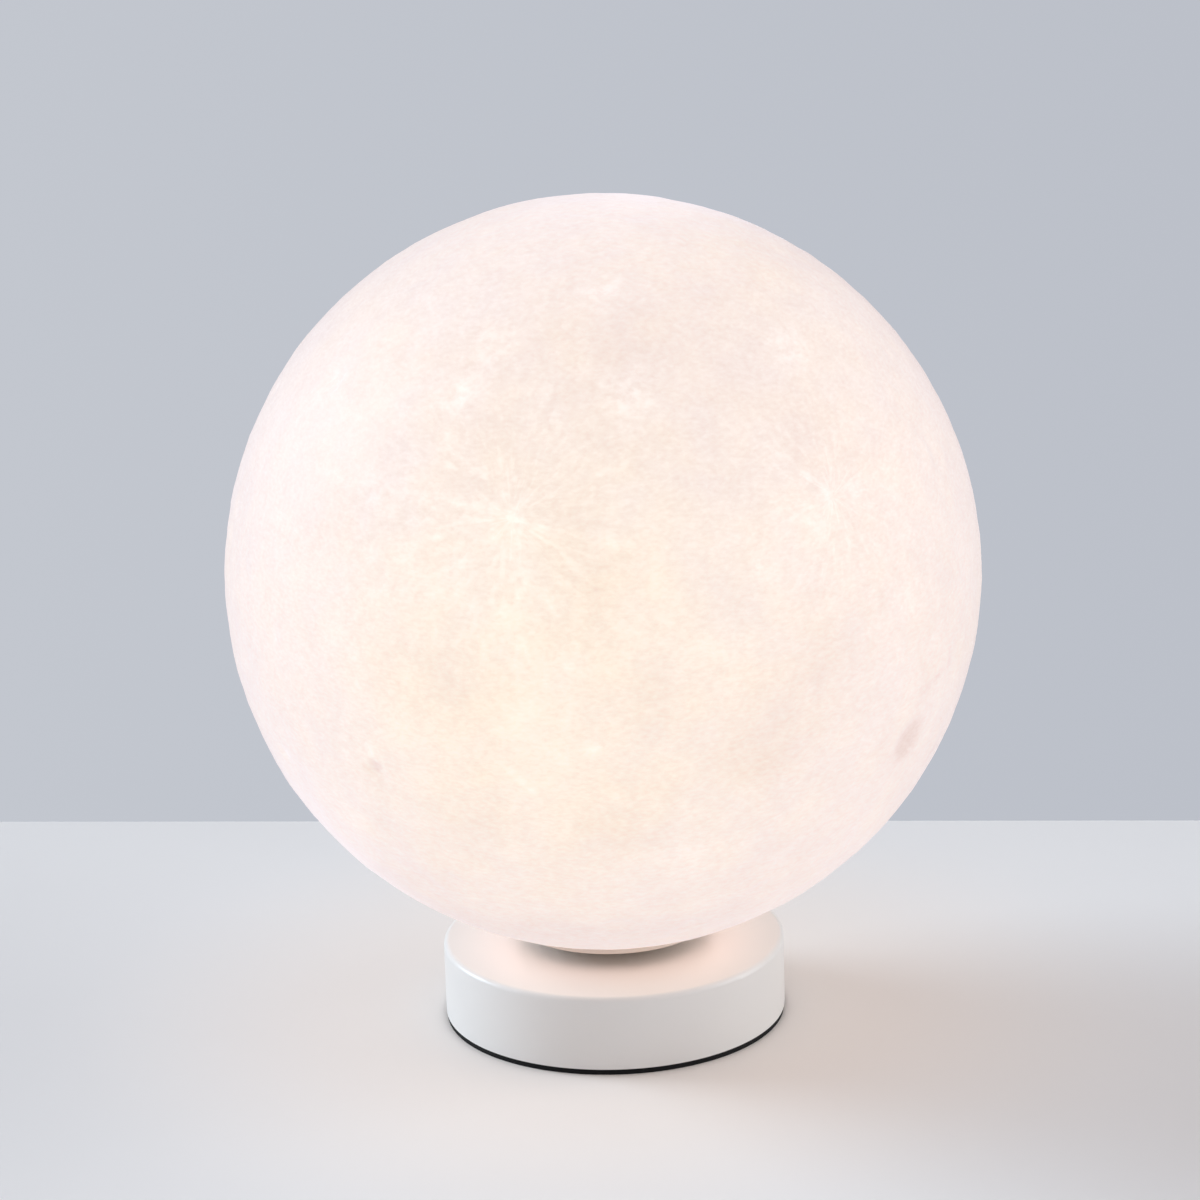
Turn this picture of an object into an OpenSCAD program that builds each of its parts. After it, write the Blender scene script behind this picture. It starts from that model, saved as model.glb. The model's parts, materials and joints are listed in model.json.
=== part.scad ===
// Moon lamp: a hollow moon globe that drops over a screw-in bulb on a low round base.
// Millimetres. The origin is the centre of the foot pad's lower face, +Z is up and -Y is the front.

/* [Globe] */
// Outer radius of the globe
globe_r = 125; // [100:1:150]
// Wall of the globe
globe_wall = 2; // [1.8:0.1:3]
// Wall of the collar that stands inside the globe's mouth
collar_wall = 1.8; // [1.6:0.1:3]
// Height of the collar
collar_h = 10; // [6:0.5:14]
// Width of the flat foot outside the collar
seat_land = 1.6; // [1.4:0.1:5]
// Thickness of the soft ring under the globe's foot
gasket_t = 0.6; // [0.4:0.1:2]
// How far the soft ring stays inside both edges of the foot
gasket_inset = 0.5; // [0.2:0.1:1]

/* [Fitter plate] */
// Thickness of the plate that carries the globe
fitter_t = 1.9; // [1.5:0.1:4]
// Outer radius of the ring that centres the globe
spigot_r = 27.5; // [26:0.5:32]
// Wall of that ring
spigot_wall = 1.5; // [1:0.1:1.8]
// Height of that ring
spigot_h = 10; // [8:0.5:14]
// Room between the ring and the globe's collar, where the springs sit
spring_room = 2.3; // [1.8:0.1:4]
// Width of each retaining spring
spring_w = 6; // [4:0.5:9]
// Thickness of the spring strip
spring_t = 0.4; // [0.3:0.1:0.8]
// Height of the flat foot of each spring
spring_foot = 3.6; // [3.2:0.1:4.4]
// Number of retaining springs
spring_count = 3; // [3:1:6]
// Distance from each end of a spring to the end of the ring
spring_margin = 1; // [0.4:0.1:1.6]
// Clearance between the springs and the collar
spring_fit = 0.3; // [0.2:0.05:0.6]
// Radius of the rivets that hold the springs
rivet_r = 0.9; // [0.6:0.1:1.2]
// Radius of the rivet heads
rivet_head_r = 1.5; // [1.3:0.1:1.6]
// Height of the rivet heads
rivet_head_h = 0.5; // [0.3:0.1:0.6]

/* [Base] */
// Outer radius of the base cover
base_r = 58; // [52:1:80]
// Height of the base cover
base_h = 25.3; // [24:0.1:40]
// Wall of the base cover
cover_wall = 1.5; // [1:0.1:2]
// Rounding of the cover's top edge
edge_round = 1.8; // [1:0.1:5]
// Thickness of the foot pad
pad_t = 1.9; // [1:0.1:4]
// How far the foot pad stays inside the cover's edge
pad_inset = 0.3; // [0:0.1:2]
// Thickness of the base plate
plate_t = 2; // [1.8:0.1:3]
// Gap between the base plate and the cover's wall
plate_gap = 0.3; // [0.1:0.1:1]
// Thickness of the ballast
ballast_t = 8; // [6:0.5:9]
// Radius of the hole in the middle of the ballast
ballast_hole_r = 10; // [6:0.5:14]
// Radius of the circle of the ballast screws
ballast_screw_ring = 30; // [24:1:34]
// Radius of each standoff
standoff_r = 4; // [3.5:0.1:5]
// Gap between the standoffs and the cover's wall
standoff_gap = 2.5; // [1:0.1:4]
// Gap between the standoffs and the ballast
ballast_gap = 0.5; // [0.3:0.1:2]
// Number of standoffs
standoff_count = 3; // [3:1:4]
// Number of screws that hold the ballast
ballast_screw_count = 3; // [2:1:4]

/* [Screws] */
// Thread radius of the base screws
screw_r = 2; // [1.5:0.1:2.2]
// Head radius of the base screws
screw_head_r = 3.8; // [3:0.1:4.2]
// Head height of the base screws
screw_head_h = 1.6; // [1.2:0.1:1.7]
// How far the screws reach into the standoffs
standoff_bite = 10; // [5:0.5:14]
// Metal left above the ballast screws
ballast_skin = 2; // [1:0.5:2.5]
// Radius of the hexagon socket in the screw heads
socket_r = 1.4; // [1:0.1:1.6]
// Depth of the hexagon socket
socket_depth = 1.2; // [0.8:0.1:1.5]
// Clearance of screws, threads and pipes in their holes
thread_fit = 0.1; // [0.05:0.05:0.2]
// Thread radius of the small screws
small_screw_r = 1.5; // [1.2:0.1:1.6]
// Head radius of the small screws
small_head_r = 2.7; // [2.2:0.1:2.8]
// Head height of the small screws
small_head_h = 1.8; // [1.2:0.1:2]
// Width of a screwdriver slot
slot_w = 0.6; // [0.4:0.1:0.8]
// Depth of a screwdriver slot
slot_depth = 0.6; // [0.4:0.1:0.8]

/* [Stem] */
// Radius of the bush between base and fitter plate
bush_r = 18; // [10:0.5:24]
// Height of that bush
bush_h = 5.6; // [3:0.1:15]
// Outer radius of the threaded pipe
nipple_r = 5; // [4.5:0.1:5.5]
// Wall of the threaded pipe
nipple_wall = 1; // [0.8:0.1:1.2]
// Length of pipe below its nut
nipple_tail = 1.4; // [0.5:0.1:2]
// Clearance of plates and bush round the pipe
pipe_fit = 0.2; // [0.1:0.1:0.5]
// Radius of the pipe's nut across its corners
nut_r = 8; // [7:0.5:10]
// Height of the pipe's nut
nut_h = 4; // [3:0.1:4.5]
// Radius of the toothed washer
washer_r = 9; // [8:0.5:12]
// Thickness of the toothed washer
washer_t = 1; // [0.6:0.1:1.2]
// Number of teeth of the washer
washer_teeth = 16; // [8:1:20]
// Depth of the washer's teeth
tooth_depth = 0.8; // [0.4:0.1:1]

/* [Cable gland] */
// Radius of the bore that a cord passes
gland_bore_r = 3.3; // [2.5:0.1:3.6]
// Radius of the gland's threaded barrel
gland_r = 5; // [4.5:0.1:5.5]
// Radius of the gland's flange
flange_r = 7; // [6.5:0.1:8]
// Thickness of the flange at its middle
flange_t = 2.5; // [1.5:0.1:4]
// Radius of the gland's nose
nose_r = 5; // [4.6:0.1:6]
// Length of the nose beyond the flange
nose_l = 4; // [2:0.5:10]
// Height of the gland's axis above the pad's upper face
gland_rise = 13.9; // [13:0.1:15]
// Radius of the gland's nut across its corners
gland_nut_r = 7.5; // [6.5:0.1:7.8]
// Thickness of the gland's nut
gland_nut_t = 4; // [3:0.5:5]
// Length of barrel beyond the nut
gland_tail = 1; // [0.5:0.5:3]

/* [Lamp holder] */
// Room between the foot of the threaded sleeve and the holder's ledge
foot_room = 0.8; // [0.4:0.1:3]
// Wall of the lamp holder
holder_wall = 2.2; // [1.8:0.1:2.4]
// Height of the holder's cap
cap_h = 25.6; // [25:0.1:34]
// Height of the holder's skirt above the cap
skirt_h = 30.4; // [29:0.1:31]
// Rounding of the cap's lower edge
cap_round = 8; // [3:0.5:9]
// Rounding of the cap's hollow
hollow_round = 3; // [1:0.5:4]
// Thickness of the cap's floor
cap_floor = 3; // [2:0.1:4]
// Height of the threaded boss in the cap
boss_h = 10; // [8:0.1:10.2]
// Wall of that boss
boss_wall = 2.5; // [2:0.1:3]
// Distance from the pipe's upper end to the boss's rim
pipe_short = 0.5; // [0:0.1:2]
// Width of the ledge that the insert rests on
ledge_w = 1.8; // [1.2:0.1:1.9]
// Depth of that ledge below the cap's rim
ledge_drop = 6; // [5:0.1:7]
// Clearance of the holder's pieces in each other
holder_fit = 0.3; // [0.1:0.05:0.4]
// Thickness of the insert's flange
insert_flange_t = 2; // [1:0.1:3]
// Height of the insert below the ledge
insert_drop = 4; // [3:0.1:5]
// Thickness of the skirt's shoulder, and of its lip
skirt_edge = 1.6; // [1.2:0.1:2.4]
// Gap between the threaded sleeve and the skirt's lip
lip_gap = 0.4; // [0.3:0.1:1.6]
// Rounding of the skirt's lip
lip_round = 1.2; // [0.5:0.1:1.2]
// Height of the threaded sleeve
sleeve_h = 26; // [22:0.5:27]
// Wall of the threaded sleeve
sleeve_wall = 0.8; // [0.5:0.1:1]
// Width of the sleeve's foot
sleeve_foot = 0.9; // [0.6:0.1:1.1]
// Clearance between the sleeve and the bulb's cap
sleeve_fit = 0.4; // [0.3:0.05:0.6]
// Thickness of the contact strips
strip_t = 0.5; // [0.4:0.1:0.8]
// Width of the contact strips
strip_w = 4; // [3:0.5:5]
// Height of the centre contact above the insert
contact_rise = 3; // [2:0.1:4]
// Length of the centre contact's raised pad
contact_pad = 6; // [4:0.5:8]
// Distance of the live strip's leg from the axis
live_leg_x = 10.5; // [10:0.1:11]
// Width, across the holder, of each holder terminal
terminal_w = 5; // [4:0.1:5.4]
// Depth of each holder terminal
terminal_d = 6; // [5:0.5:7]
// Height of each holder terminal
terminal_h = 6; // [5:0.5:6.5]
// Gap between the holder terminals and the insert's edge
terminal_inset = 1; // [0.6:0.1:1.4]
// Length of the holder's terminal screws outside the terminal
terminal_screw_out = 1.2; // [0.8:0.1:1.4]
// Thread radius of all terminal screws
terminal_screw_r = 1.25; // [1:0.05:1.3]

/* [Bulb] */
// Greatest radius of the bulb
bulb_r = 22.5; // [22:0.5:27]
// Overall height of the bulb
bulb_h = 78; // [76:1:100]
// Radius of the bulb cap at the crests of its thread
cap_r = 13.1; // [12.9:0.05:13.2]
// Depth of the cap's thread
cap_thread_depth = 0.8; // [0.4:0.1:0.9]
// Pitch of the cap's thread
cap_pitch = 3.63; // [3:0.01:4]
// Number of thread crests
cap_crests = 4; // [3:1:4]
// Length of the bulb's cap
cap_l = 20; // [19:0.5:21]
// Wall of the cap at the thread's roots
cap_wall = 0.4; // [0.3:0.1:0.6]
// Radius of the tip contact
tip_r = 4.8; // [3.5:0.1:5.4]
// Thickness of the tip contact
tip_t = 1.5; // [1:0.1:2]
// Height of the glass insulator below the cap
insulator_h = 3.5; // [2.5:0.1:4.5]
// How far the insulator reaches into the cap
insulator_in = 1.5; // [1:0.1:3]
// Radius of the step between tip contact and insulator
insulator_step = 0.4; // [0.2:0.1:1]
// Wall of the bulb's housing
housing_wall = 1.5; // [1:0.1:1.6]
// Length of the housing's neck inside the cap
neck_l = 8; // [5:0.5:9]
// Height of the housing's plain collar above the cap
neck_collar = 4; // [3:0.5:6]
// Height of the dome's centre above the edge of its housing
dome_rise = 8.5; // [6:0.5:10]
// Width of the housing's rim outside the dome
rim_step = 0.8; // [0.4:0.1:1.2]
// Wall of the dome
dome_wall = 1.2; // [0.8:0.1:1.6]
// Thickness of the disc that carries the light-emitting chips
led_board_t = 1.5; // [1:0.1:2]
// Clearance of that disc in the housing
led_board_fit = 0.2; // [0.1:0.05:0.4]
// Width of the ledge under that disc
led_ledge = 1.5; // [1:0.1:2.5]
// Number of light-emitting chips
led_count = 9; // [4:1:12]
// Radius of the circle of chips
led_ring = 12; // [8:0.5:14]
// Side of each chip
led_w = 3; // [2:0.1:3.5]
// Height of each chip
led_h = 0.8; // [0.4:0.1:1.2]
// Width of the driver board
driver_w = 16; // [12:0.5:17]
// Thickness of the driver board
driver_t = 1.2; // [0.8:0.1:1.6]
// Height of the driver board's lower edge above the cap's lower edge
driver_rise = 8; // [5:0.5:10]
// Radius of the lead wires in the bulb
lead_r = 0.5; // [0.3:0.1:0.6]
// Radius of the capacitor
capacitor_r = 3; // [2:0.1:3.2]
// Height of the capacitor
capacitor_h = 11; // [6:0.5:12]
// Side of the transformer
coil_w = 7; // [4:0.5:8]
// Depth of the transformer off the board
coil_d = 4.5; // [3:0.1:5]

/* [Wiring] */
// Radius of each insulated wire
wire_r = 1.1; // [0.8:0.05:1.3]
// Half of the gap between the two wires in the pipe
wire_gap = 0.5; // [0.2:0.1:0.6]
// Bending radius of the wires under the pipe
low_bend = 4.4; // [3:0.1:4.4]
// Bending radius of the wires above the pipe
high_bend = 3; // [2.4:0.1:3.2]
// Pitch of the terminal block's poles
pole_pitch = 10; // [9:0.1:11]
// Width of the terminal block beyond its outer poles, on each side
block_side = 5; // [4:0.5:6]
// Depth of the terminal block
block_d = 17; // [15:0.5:18]
// Height of the terminal block
block_h = 11; // [9:0.5:11]
// Distance of the terminal block's middle behind the axis
block_y = 29.5; // [28:0.5:31]
// Radius of the brass tubes in the block
tube_r = 2.3; // [2:0.05:2.5]
// Wall of the brass tubes
tube_wall = 0.8; // [0.5:0.05:0.9]
// How far the brass tubes stay inside the block's faces
tube_inset = 1; // [0.5:0.5:2]
// Height of the poles above the block's lower face
pole_rise = 3.8; // [3.4:0.1:4.2]
// Clearance of tubes and screws in the block
block_fit = 0.1; // [0.05:0.05:0.3]
// Distance between the two screws of a pole
pole_screw_gap = 10; // [9:0.5:11]
// Depth of the screws' heads below the block's top
well_depth = 1.5; // [0.5:0.1:2]
// Depth of the counterbore for the block's own screw
block_counterbore = 3; // [2:0.1:4]
// How far the small screws reach into the ballast
ballast_bite = 4; // [3:0.5:4.5]
// Place of the earth screw to the right of the axis
earth_x = 24; // [22:0.5:26]
// Place of the earth screw behind the axis
earth_y = 8; // [7:0.5:9]
// Outer radius of the ring terminal
ring_r = 3.6; // [3.2:0.1:4.2]
// Thickness of the ring terminal
ring_t = 0.8; // [0.6:0.1:1.2]
// Length of the ring terminal's barrel
barrel_l = 6; // [4:0.5:7]
// Wall of the ring terminal's barrel
barrel_wall = 0.5; // [0.4:0.1:0.8]

/* [Hidden] */
$fn = 96;

// Extra length of a cutter that goes right through a wall
past = 1;
// Smallest inner rounding of the base cover
least_round = 0.4;
// How far the gland hole is cut past the round wall on each side
gland_cut = 3;
// Rings in each span of a wire between two points of its route, and sides of each ring
wire_steps = 3;
wire_sides = 8;
// Straight steps in the bulge of a spring, and in one wave of the cap's thread
bulge_steps = 12;
wave_steps = 8;

// Heights, from the ground up
pad_top = pad_t;
plate_top = pad_top + plate_t;
ballast_top = plate_top + ballast_t;
cover_top = pad_top + base_h;
cover_under = cover_top - cover_wall;
gland_z = pad_top + gland_rise;
fitter_z = cover_top + bush_h;
fitter_top = fitter_z + fitter_t;
seat_z = fitter_top + gasket_t;
nut_z = cover_under - washer_t - nut_h;
nipple_z = nut_z - nipple_tail;
nipple_top = fitter_top + boss_h - pipe_short;

// Heights in the lamp holder and the bulb
rim_z = fitter_top + cap_h;
ledge_z = rim_z - ledge_drop;
insert_z = ledge_z - insert_drop;
contact_z = rim_z + contact_rise;
skirt_z = ledge_z + insert_flange_t;
skirt_top = rim_z + skirt_h;
bulb_cap_z = contact_z + tip_t + insulator_h;
bulb_cap_top = bulb_cap_z + cap_l;
dome_z = contact_z + bulb_h - bulb_r;
dome_edge_z = dome_z - dome_rise;
led_board_z = dome_edge_z - led_board_t;
driver_z = bulb_cap_z + driver_rise;

// Radii of the pieces that fit in each other
collar_r = spigot_r + spring_room;
seat_r = collar_r + collar_wall + seat_land;
globe_z = seat_z + sqrt(pow(globe_r, 2) - pow(seat_r, 2));
cover_in_r = base_r - cover_wall;
standoff_ring = cover_in_r - standoff_gap - standoff_r;
ballast_r = standoff_ring - standoff_r - ballast_gap;
sleeve_r = cap_r + sleeve_fit;
sleeve_out_r = sleeve_r + sleeve_wall;
lip_r = sleeve_out_r + lip_gap;
ledge_r = sleeve_out_r + sleeve_foot + foot_room;
insert_r = ledge_r - holder_fit;
holder_in_r = ledge_r + ledge_w;
holder_r = holder_in_r + holder_wall;
cap_in_r = cap_r - cap_thread_depth - cap_wall;
neck_r = cap_in_r - thread_fit;
dome_edge_r = sqrt(pow(bulb_r, 2) - pow(dome_rise, 2));
housing_rim_r = dome_edge_r + rim_step;
led_seat_r = dome_edge_r - dome_wall;
gland_nut_y = sqrt(pow(cover_in_r, 2) - pow(gland_nut_r, 2));
gland_in_y = gland_nut_y - gland_nut_t - gland_tail;
gland_out_y = base_r + flange_t + nose_l;

// Places of the screws: the standoffs stand clear of the gland at the back
first_angle = 30;
standoff_angles = [for (i = [0 : standoff_count - 1]) first_angle + i * 360 / standoff_count];
ballast_screw_angles = [for (i = [0 : ballast_screw_count - 1]) i * 360 / ballast_screw_count];
spring_angles = [for (i = [0 : spring_count - 1]) first_angle + i * 360 / spring_count];
ballast_screw_l = plate_t + ballast_t - ballast_skin;
block_front = block_y - block_d / 2;
block_top = ballast_top + block_h;
block_screw_x = -pole_pitch / 2;
pole_z = ballast_top + pole_rise;
terminal_x = insert_r - terminal_inset - terminal_w / 2;
terminal_z = insert_z - terminal_h / 2;
neutral_leg_x = sleeve_r + sleeve_wall / 2;

// Craters as longitude (0 is the front, + is to the right), latitude, rim radius, depth of the dish
craters = [
    [-14, 24, 4.5, 0.5], [38, 23, 3.5, 0.4], [-37, -16, 5, 0.6], [53, -17, 8, 0.5],
    [-2, -9, 3, 0.35], [-27, 41, 4, 0.4], [6, 41, 6, 0.45], [2, 61, 5, 0.45],
    [43, 44, 5, 0.4], [-60, 40, 7, 0.5], [24, 15, 3.5, 0.35], [1, -48, 6, 0.5],
    [-31, -37, 6, 0.5], [31, -42, 7, 0.45], [-67, 8, 6, 0.45], [68, 22, 6, 0.4],
    [-75, -32, 8, 0.5], [84, -34, 6, 0.45], [112, 12, 9, 0.5], [-112, 18, 8, 0.5],
    [148, 38, 7, 0.5], [-150, 44, 9, 0.45], [160, -14, 6, 0.45], [-158, -8, 9, 0.5],
    [130, -38, 9, 0.5], [-125, -36, 7, 0.5], [178, -44, 8, 0.45], [100, 52, 7, 0.45],
    [-96, 58, 6, 0.4], [-176, 66, 6, 0.45]
];

// The wires' routes as points: from the block, up through the pipe, to the holder's terminals
wire_x = wire_r + wire_gap;
low_z = nipple_z - low_bend;
wire_turn = 0.3;
earth_z = ballast_top + wire_r + barrel_wall;
barrel_x = earth_x - ring_r - barrel_l;

function side_route(side, pole_x) = [
    [pole_x, block_front + 4, pole_z],
    [pole_x, block_front + 1, pole_z],
    [pole_x, block_front - 2, pole_z],
    [side * wire_x + (pole_x - side * wire_x) * 0.35, block_front - 8, (pole_z + low_z) / 2],
    [side * wire_x, low_bend + 2, low_z],
    [side * wire_x, low_bend, low_z],
    [side * wire_x, low_bend * wire_turn, low_z + low_bend * wire_turn],
    [side * wire_x, 0, nipple_z],
    [side * wire_x, 0, nipple_z + 3],
    [side * wire_x, 0, terminal_z - high_bend - 3],
    [side * wire_x, 0, terminal_z - high_bend],
    [side * (wire_x + high_bend * wire_turn), 0, terminal_z - high_bend * wire_turn],
    [side * (wire_x + high_bend), 0, terminal_z],
    [side * (terminal_x - 1), 0, terminal_z],
    [side * terminal_x, 0, terminal_z]
];

earth_route = [
    [pole_pitch, block_front + 4, pole_z],
    [pole_pitch, block_front + 1, pole_z],
    [pole_pitch, block_front - 2, pole_z],
    [pole_pitch, block_front - 5, pole_z - 0.6],
    [pole_pitch + 0.8, earth_y + 3, (pole_z + earth_z) / 2],
    [barrel_x - 1.5, earth_y + 0.4, earth_z + 0.3],
    [barrel_x + 1, earth_y, earth_z],
    [barrel_x + barrel_l / 2, earth_y, earth_z]
];

// Point at a share t of the way from b to c, on a smooth curve through a, b, c and d
function between(a, b, c, d, t) =
    0.5 * ((2 * b) + (c - a) * t + (2 * a - 5 * b + 4 * c - d) * t * t + (3 * b - a - 3 * c + d) * t * t * t);

// All points of a smooth curve through the points p
function smooth_route(p) = concat(
    [for (i = [0 : len(p) - 2], k = [0 : wire_steps - 1])
        between(p[max(i - 1, 0)], p[i], p[i + 1], p[min(i + 2, len(p) - 1)], k / wire_steps)],
    [p[len(p) - 1]]
);

function unit(v) = v / norm(v);
function headings(p) = [for (i = [0 : len(p) - 1]) unit(p[min(i + 1, len(p) - 1)] - p[max(i - 1, 0)])];

// Sideways direction at each point, carried along the route from the first one, so that the tube never twists
function sideways(h, first) = [for (i = 0, s = first; i < len(h); i = i + 1,
    s = i < len(h) ? unit(s - (s * h[i]) * h[i]) : s) unit(s - (s * h[i]) * h[i])];

// Tube of radius r along the points of a route
module wire(route, r) {
    p = smooth_route(route);
    h = headings(p);
    s = sideways(h, [1, 0, 0]);
    n = wire_sides;
    last = (len(p) - 1) * n;
    rings = [for (i = [0 : len(p) - 1], k = [0 : n - 1])
        p[i] + r * (cos(360 * k / n) * s[i] + sin(360 * k / n) * cross(h[i], s[i]))];
    walls = [for (i = [0 : len(p) - 2], k = [0 : n - 1])
        [i * n + k, (i + 1) * n + k, (i + 1) * n + (k + 1) % n, i * n + (k + 1) % n]];
    polyhedron(
        rings,
        concat(
            [for (w = walls) [w[0], w[1], w[2]]],
            [for (w = walls) [w[0], w[2], w[3]]],
            [[for (k = [0 : n - 1]) k], [for (k = [n - 1 : -1 : 0]) last + k]]
        )
    );
}

// Ring that stands on z
module ring(outer, inner, h, z = 0) {
    translate([0, 0, z])
        rotate_extrude()
            translate([inner, 0])
                square([outer - inner, h]);
}

// Half of the section of a disc with a rounded upper edge
module rounded_section(r, h, round) {
    square([r - round, h]);
    square([r, h - round]);
    translate([r - round, h - round])
        circle(round);
}

// Children, once at each of the angles, at a distance r from the axis
module around(angles, r) {
    for (a = angles)
        rotate(a)
            translate([r, 0, 0])
                children();
}

// Countersunk screw with its head down on z = 0
module countersunk_screw(l) {
    difference() {
        rotate_extrude()
            polygon([
                [0, 0], [screw_head_r, 0], [screw_r, screw_head_h], [screw_r, l], [0, l]
            ]);
        translate([0, 0, -past])
            cylinder(r = socket_r, h = socket_depth + past, $fn = 6);
    }
}

// Hole for a countersunk screw through a plate of thickness t
module countersunk_hole(t) {
    hole_r = screw_r + thread_fit;
    head_hole_r = screw_head_r + thread_fit;
    translate([0, 0, -past])
        cylinder(r = hole_r, h = t + 2 * past);
    rotate_extrude()
        polygon([
            [0, -past], [head_hole_r, -past], [head_hole_r, 0], [hole_r, screw_head_h], [0, screw_head_h]
        ]);
}

// Cutter for a screwdriver slot across a head of radius r whose top is at z = 0
module slot(r) {
    translate([-r - past, -slot_w / 2, -slot_depth])
        cube([2 * (r + past), slot_w, slot_depth + past]);
}

// Slotted screw with its head above z = 0 and its shank below
module slotted_screw(r, l, head_r, head_h) {
    difference() {
        union() {
            translate([0, 0, -l])
                cylinder(r = r, h = l);
            cylinder(r = head_r, h = head_h);
        }
        translate([0, 0, head_h])
            slot(head_r);
    }
}

// Slotted screw without a head, below z = 0
module grub_screw(r, l) {
    difference() {
        translate([0, 0, -l])
            cylinder(r = r, h = l);
        slot(r);
    }
}

// Ball that cuts a dish of the given rim radius and depth into the globe
module crater(longitude, latitude, rim_r, depth) {
    ball_r = (pow(rim_r, 2) + pow(depth, 2)) / (2 * depth);
    rim_height = sqrt(pow(globe_r, 2) - pow(rim_r, 2));
    rotate([0, 0, longitude - 90])
        rotate([0, -latitude, 0])
            translate([rim_height + ball_r - depth, 0, 0])
                sphere(ball_r);
}

// Globe with its flat foot, open mouth and inner collar
module moon_shell() {
    color("linen")
        difference() {
            union() {
                translate([0, 0, globe_z])
                    difference() {
                        sphere(globe_r);
                        sphere(globe_r - globe_wall);
                        for (c = craters)
                            crater(c[0], c[1], c[2], c[3]);
                    }
                ring(collar_r + collar_wall, collar_r, collar_h, seat_z);
            }
            translate([0, 0, seat_z - globe_r])
                cylinder(r = globe_r, h = globe_r);
            translate([0, 0, seat_z - past])
                cylinder(r = collar_r, h = collar_h + past);
        }
}

// Soft ring between the globe's foot and the plate
module shade_gasket() {
    color("gainsboro")
        ring(seat_r - gasket_inset, collar_r + gasket_inset, gasket_t, fitter_top);
}

// Heights of the springs and their rivets, and the distance of the springs' crests from the axis
spring_z = fitter_top + spring_margin;
rivet_z = spring_z + spring_foot / 2;
crest_x = sqrt(pow(collar_r - spring_fit, 2) - pow(spring_w / 2, 2));

// Plate that carries the globe, with the ring that centres it
module shade_plate() {
    color("linen")
        difference() {
            union() {
                ring(seat_r, nipple_r + pipe_fit, fitter_t, fitter_z);
                ring(spigot_r, spigot_r - spigot_wall, spigot_h + fitter_t, fitter_z);
            }
            around(spring_angles, 0)
                translate([0, 0, rivet_z])
                    rotate([0, 90, 0])
                        cylinder(r = rivet_r + thread_fit, h = spigot_r + past);
        }
}

// Three strip springs that press the globe's collar outwards
module retaining_springs() {
    bulge_z = spring_z + spring_foot;
    bulge_h = spigot_h - 2 * spring_margin - spring_foot;
    bulge = crest_x - spring_t - spigot_r;
    curve = [for (i = [0 : bulge_steps])
        [spigot_r + bulge * sin(180 * i / bulge_steps), bulge_z + bulge_h * i / bulge_steps]];
    inner = concat([[spigot_r, spring_z]], curve);
    outer = [for (i = [len(inner) - 1 : -1 : 0]) inner[i] + [spring_t, 0]];
    color("silver")
        around(spring_angles, 0)
            difference() {
                rotate([90, 0, 0])
                    translate([0, 0, -spring_w / 2])
                        linear_extrude(spring_w)
                            polygon(concat(inner, outer));
                translate([spigot_r - past, 0, rivet_z])
                    rotate([0, 90, 0])
                        cylinder(r = rivet_r + thread_fit, h = spring_t + 2 * past);
            }
}

// Rivets through the springs and the plate's ring
module spring_rivets() {
    inside = sqrt(pow(spigot_r - spigot_wall, 2) - pow(rivet_head_r, 2));
    outside = spigot_r + spring_t;
    color("silver")
        around(spring_angles, 0)
            translate([0, 0, rivet_z])
                rotate([0, 90, 0]) {
                    translate([0, 0, inside - rivet_head_h])
                        cylinder(r = rivet_r, h = outside - inside + 2 * rivet_head_h);
                    translate([0, 0, outside])
                        cylinder(r = rivet_head_r, h = rivet_head_h);
                    translate([0, 0, inside - rivet_head_h])
                        cylinder(r = rivet_head_r, h = rivet_head_h);
                }
}

// Bush that holds the plate above the base
module spacer_bush() {
    color("dimgray")
        ring(bush_r, nipple_r + pipe_fit, bush_h, cover_top);
}

// Threaded pipe that clamps base, bush, plate and lamp holder, and carries the wires
module nipple() {
    color("darkgray")
        ring(nipple_r, nipple_r - nipple_wall, nipple_top - nipple_z, nipple_z);
}

// Toothed washer under the cover's top
module nipple_lock_washer() {
    color("silver")
        translate([0, 0, cover_under - washer_t])
            difference() {
                cylinder(r = washer_r, h = washer_t);
                translate([0, 0, -past])
                    cylinder(r = nipple_r + pipe_fit, h = washer_t + 2 * past);
                around([for (i = [0 : washer_teeth - 1]) i * 360 / washer_teeth], washer_r)
                    translate([0, 0, -past])
                        rotate(45)
                            translate([-tooth_depth / 2, -tooth_depth / 2, 0])
                                cube([tooth_depth, tooth_depth, washer_t + 2 * past]);
            }
}

// Nut on the pipe
module nipple_lock_nut() {
    color("darkgray")
        translate([0, 0, nut_z])
            difference() {
                cylinder(r = nut_r, h = nut_h, $fn = 6);
                translate([0, 0, -past])
                    cylinder(r = nipple_r + thread_fit, h = nut_h + 2 * past);
            }
}

// Round cover of the base, open below, with a hole for the pipe and one for the gland
module base_cover() {
    color("whitesmoke")
        difference() {
            translate([0, 0, pad_top])
                rotate_extrude()
                    difference() {
                        rounded_section(base_r, base_h, edge_round);
                        translate([0, -past])
                            rounded_section(cover_in_r, base_h - cover_wall + past,
                                max(edge_round - cover_wall, least_round));
                        square([nipple_r + pipe_fit, base_h + past]);
                    }
            translate([0, cover_in_r - gland_cut, gland_z])
                rotate([-90, 0, 0])
                    cylinder(r = gland_r + pipe_fit, h = cover_wall + 2 * gland_cut);
        }
}

// Steel plate that closes the base
module base_plate() {
    color("lightgray")
        translate([0, 0, pad_top])
            difference() {
                cylinder(r = cover_in_r - plate_gap, h = plate_t);
                around(standoff_angles, standoff_ring)
                    countersunk_hole(plate_t);
                around(ballast_screw_angles, ballast_screw_ring)
                    countersunk_hole(plate_t);
            }
}

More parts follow.
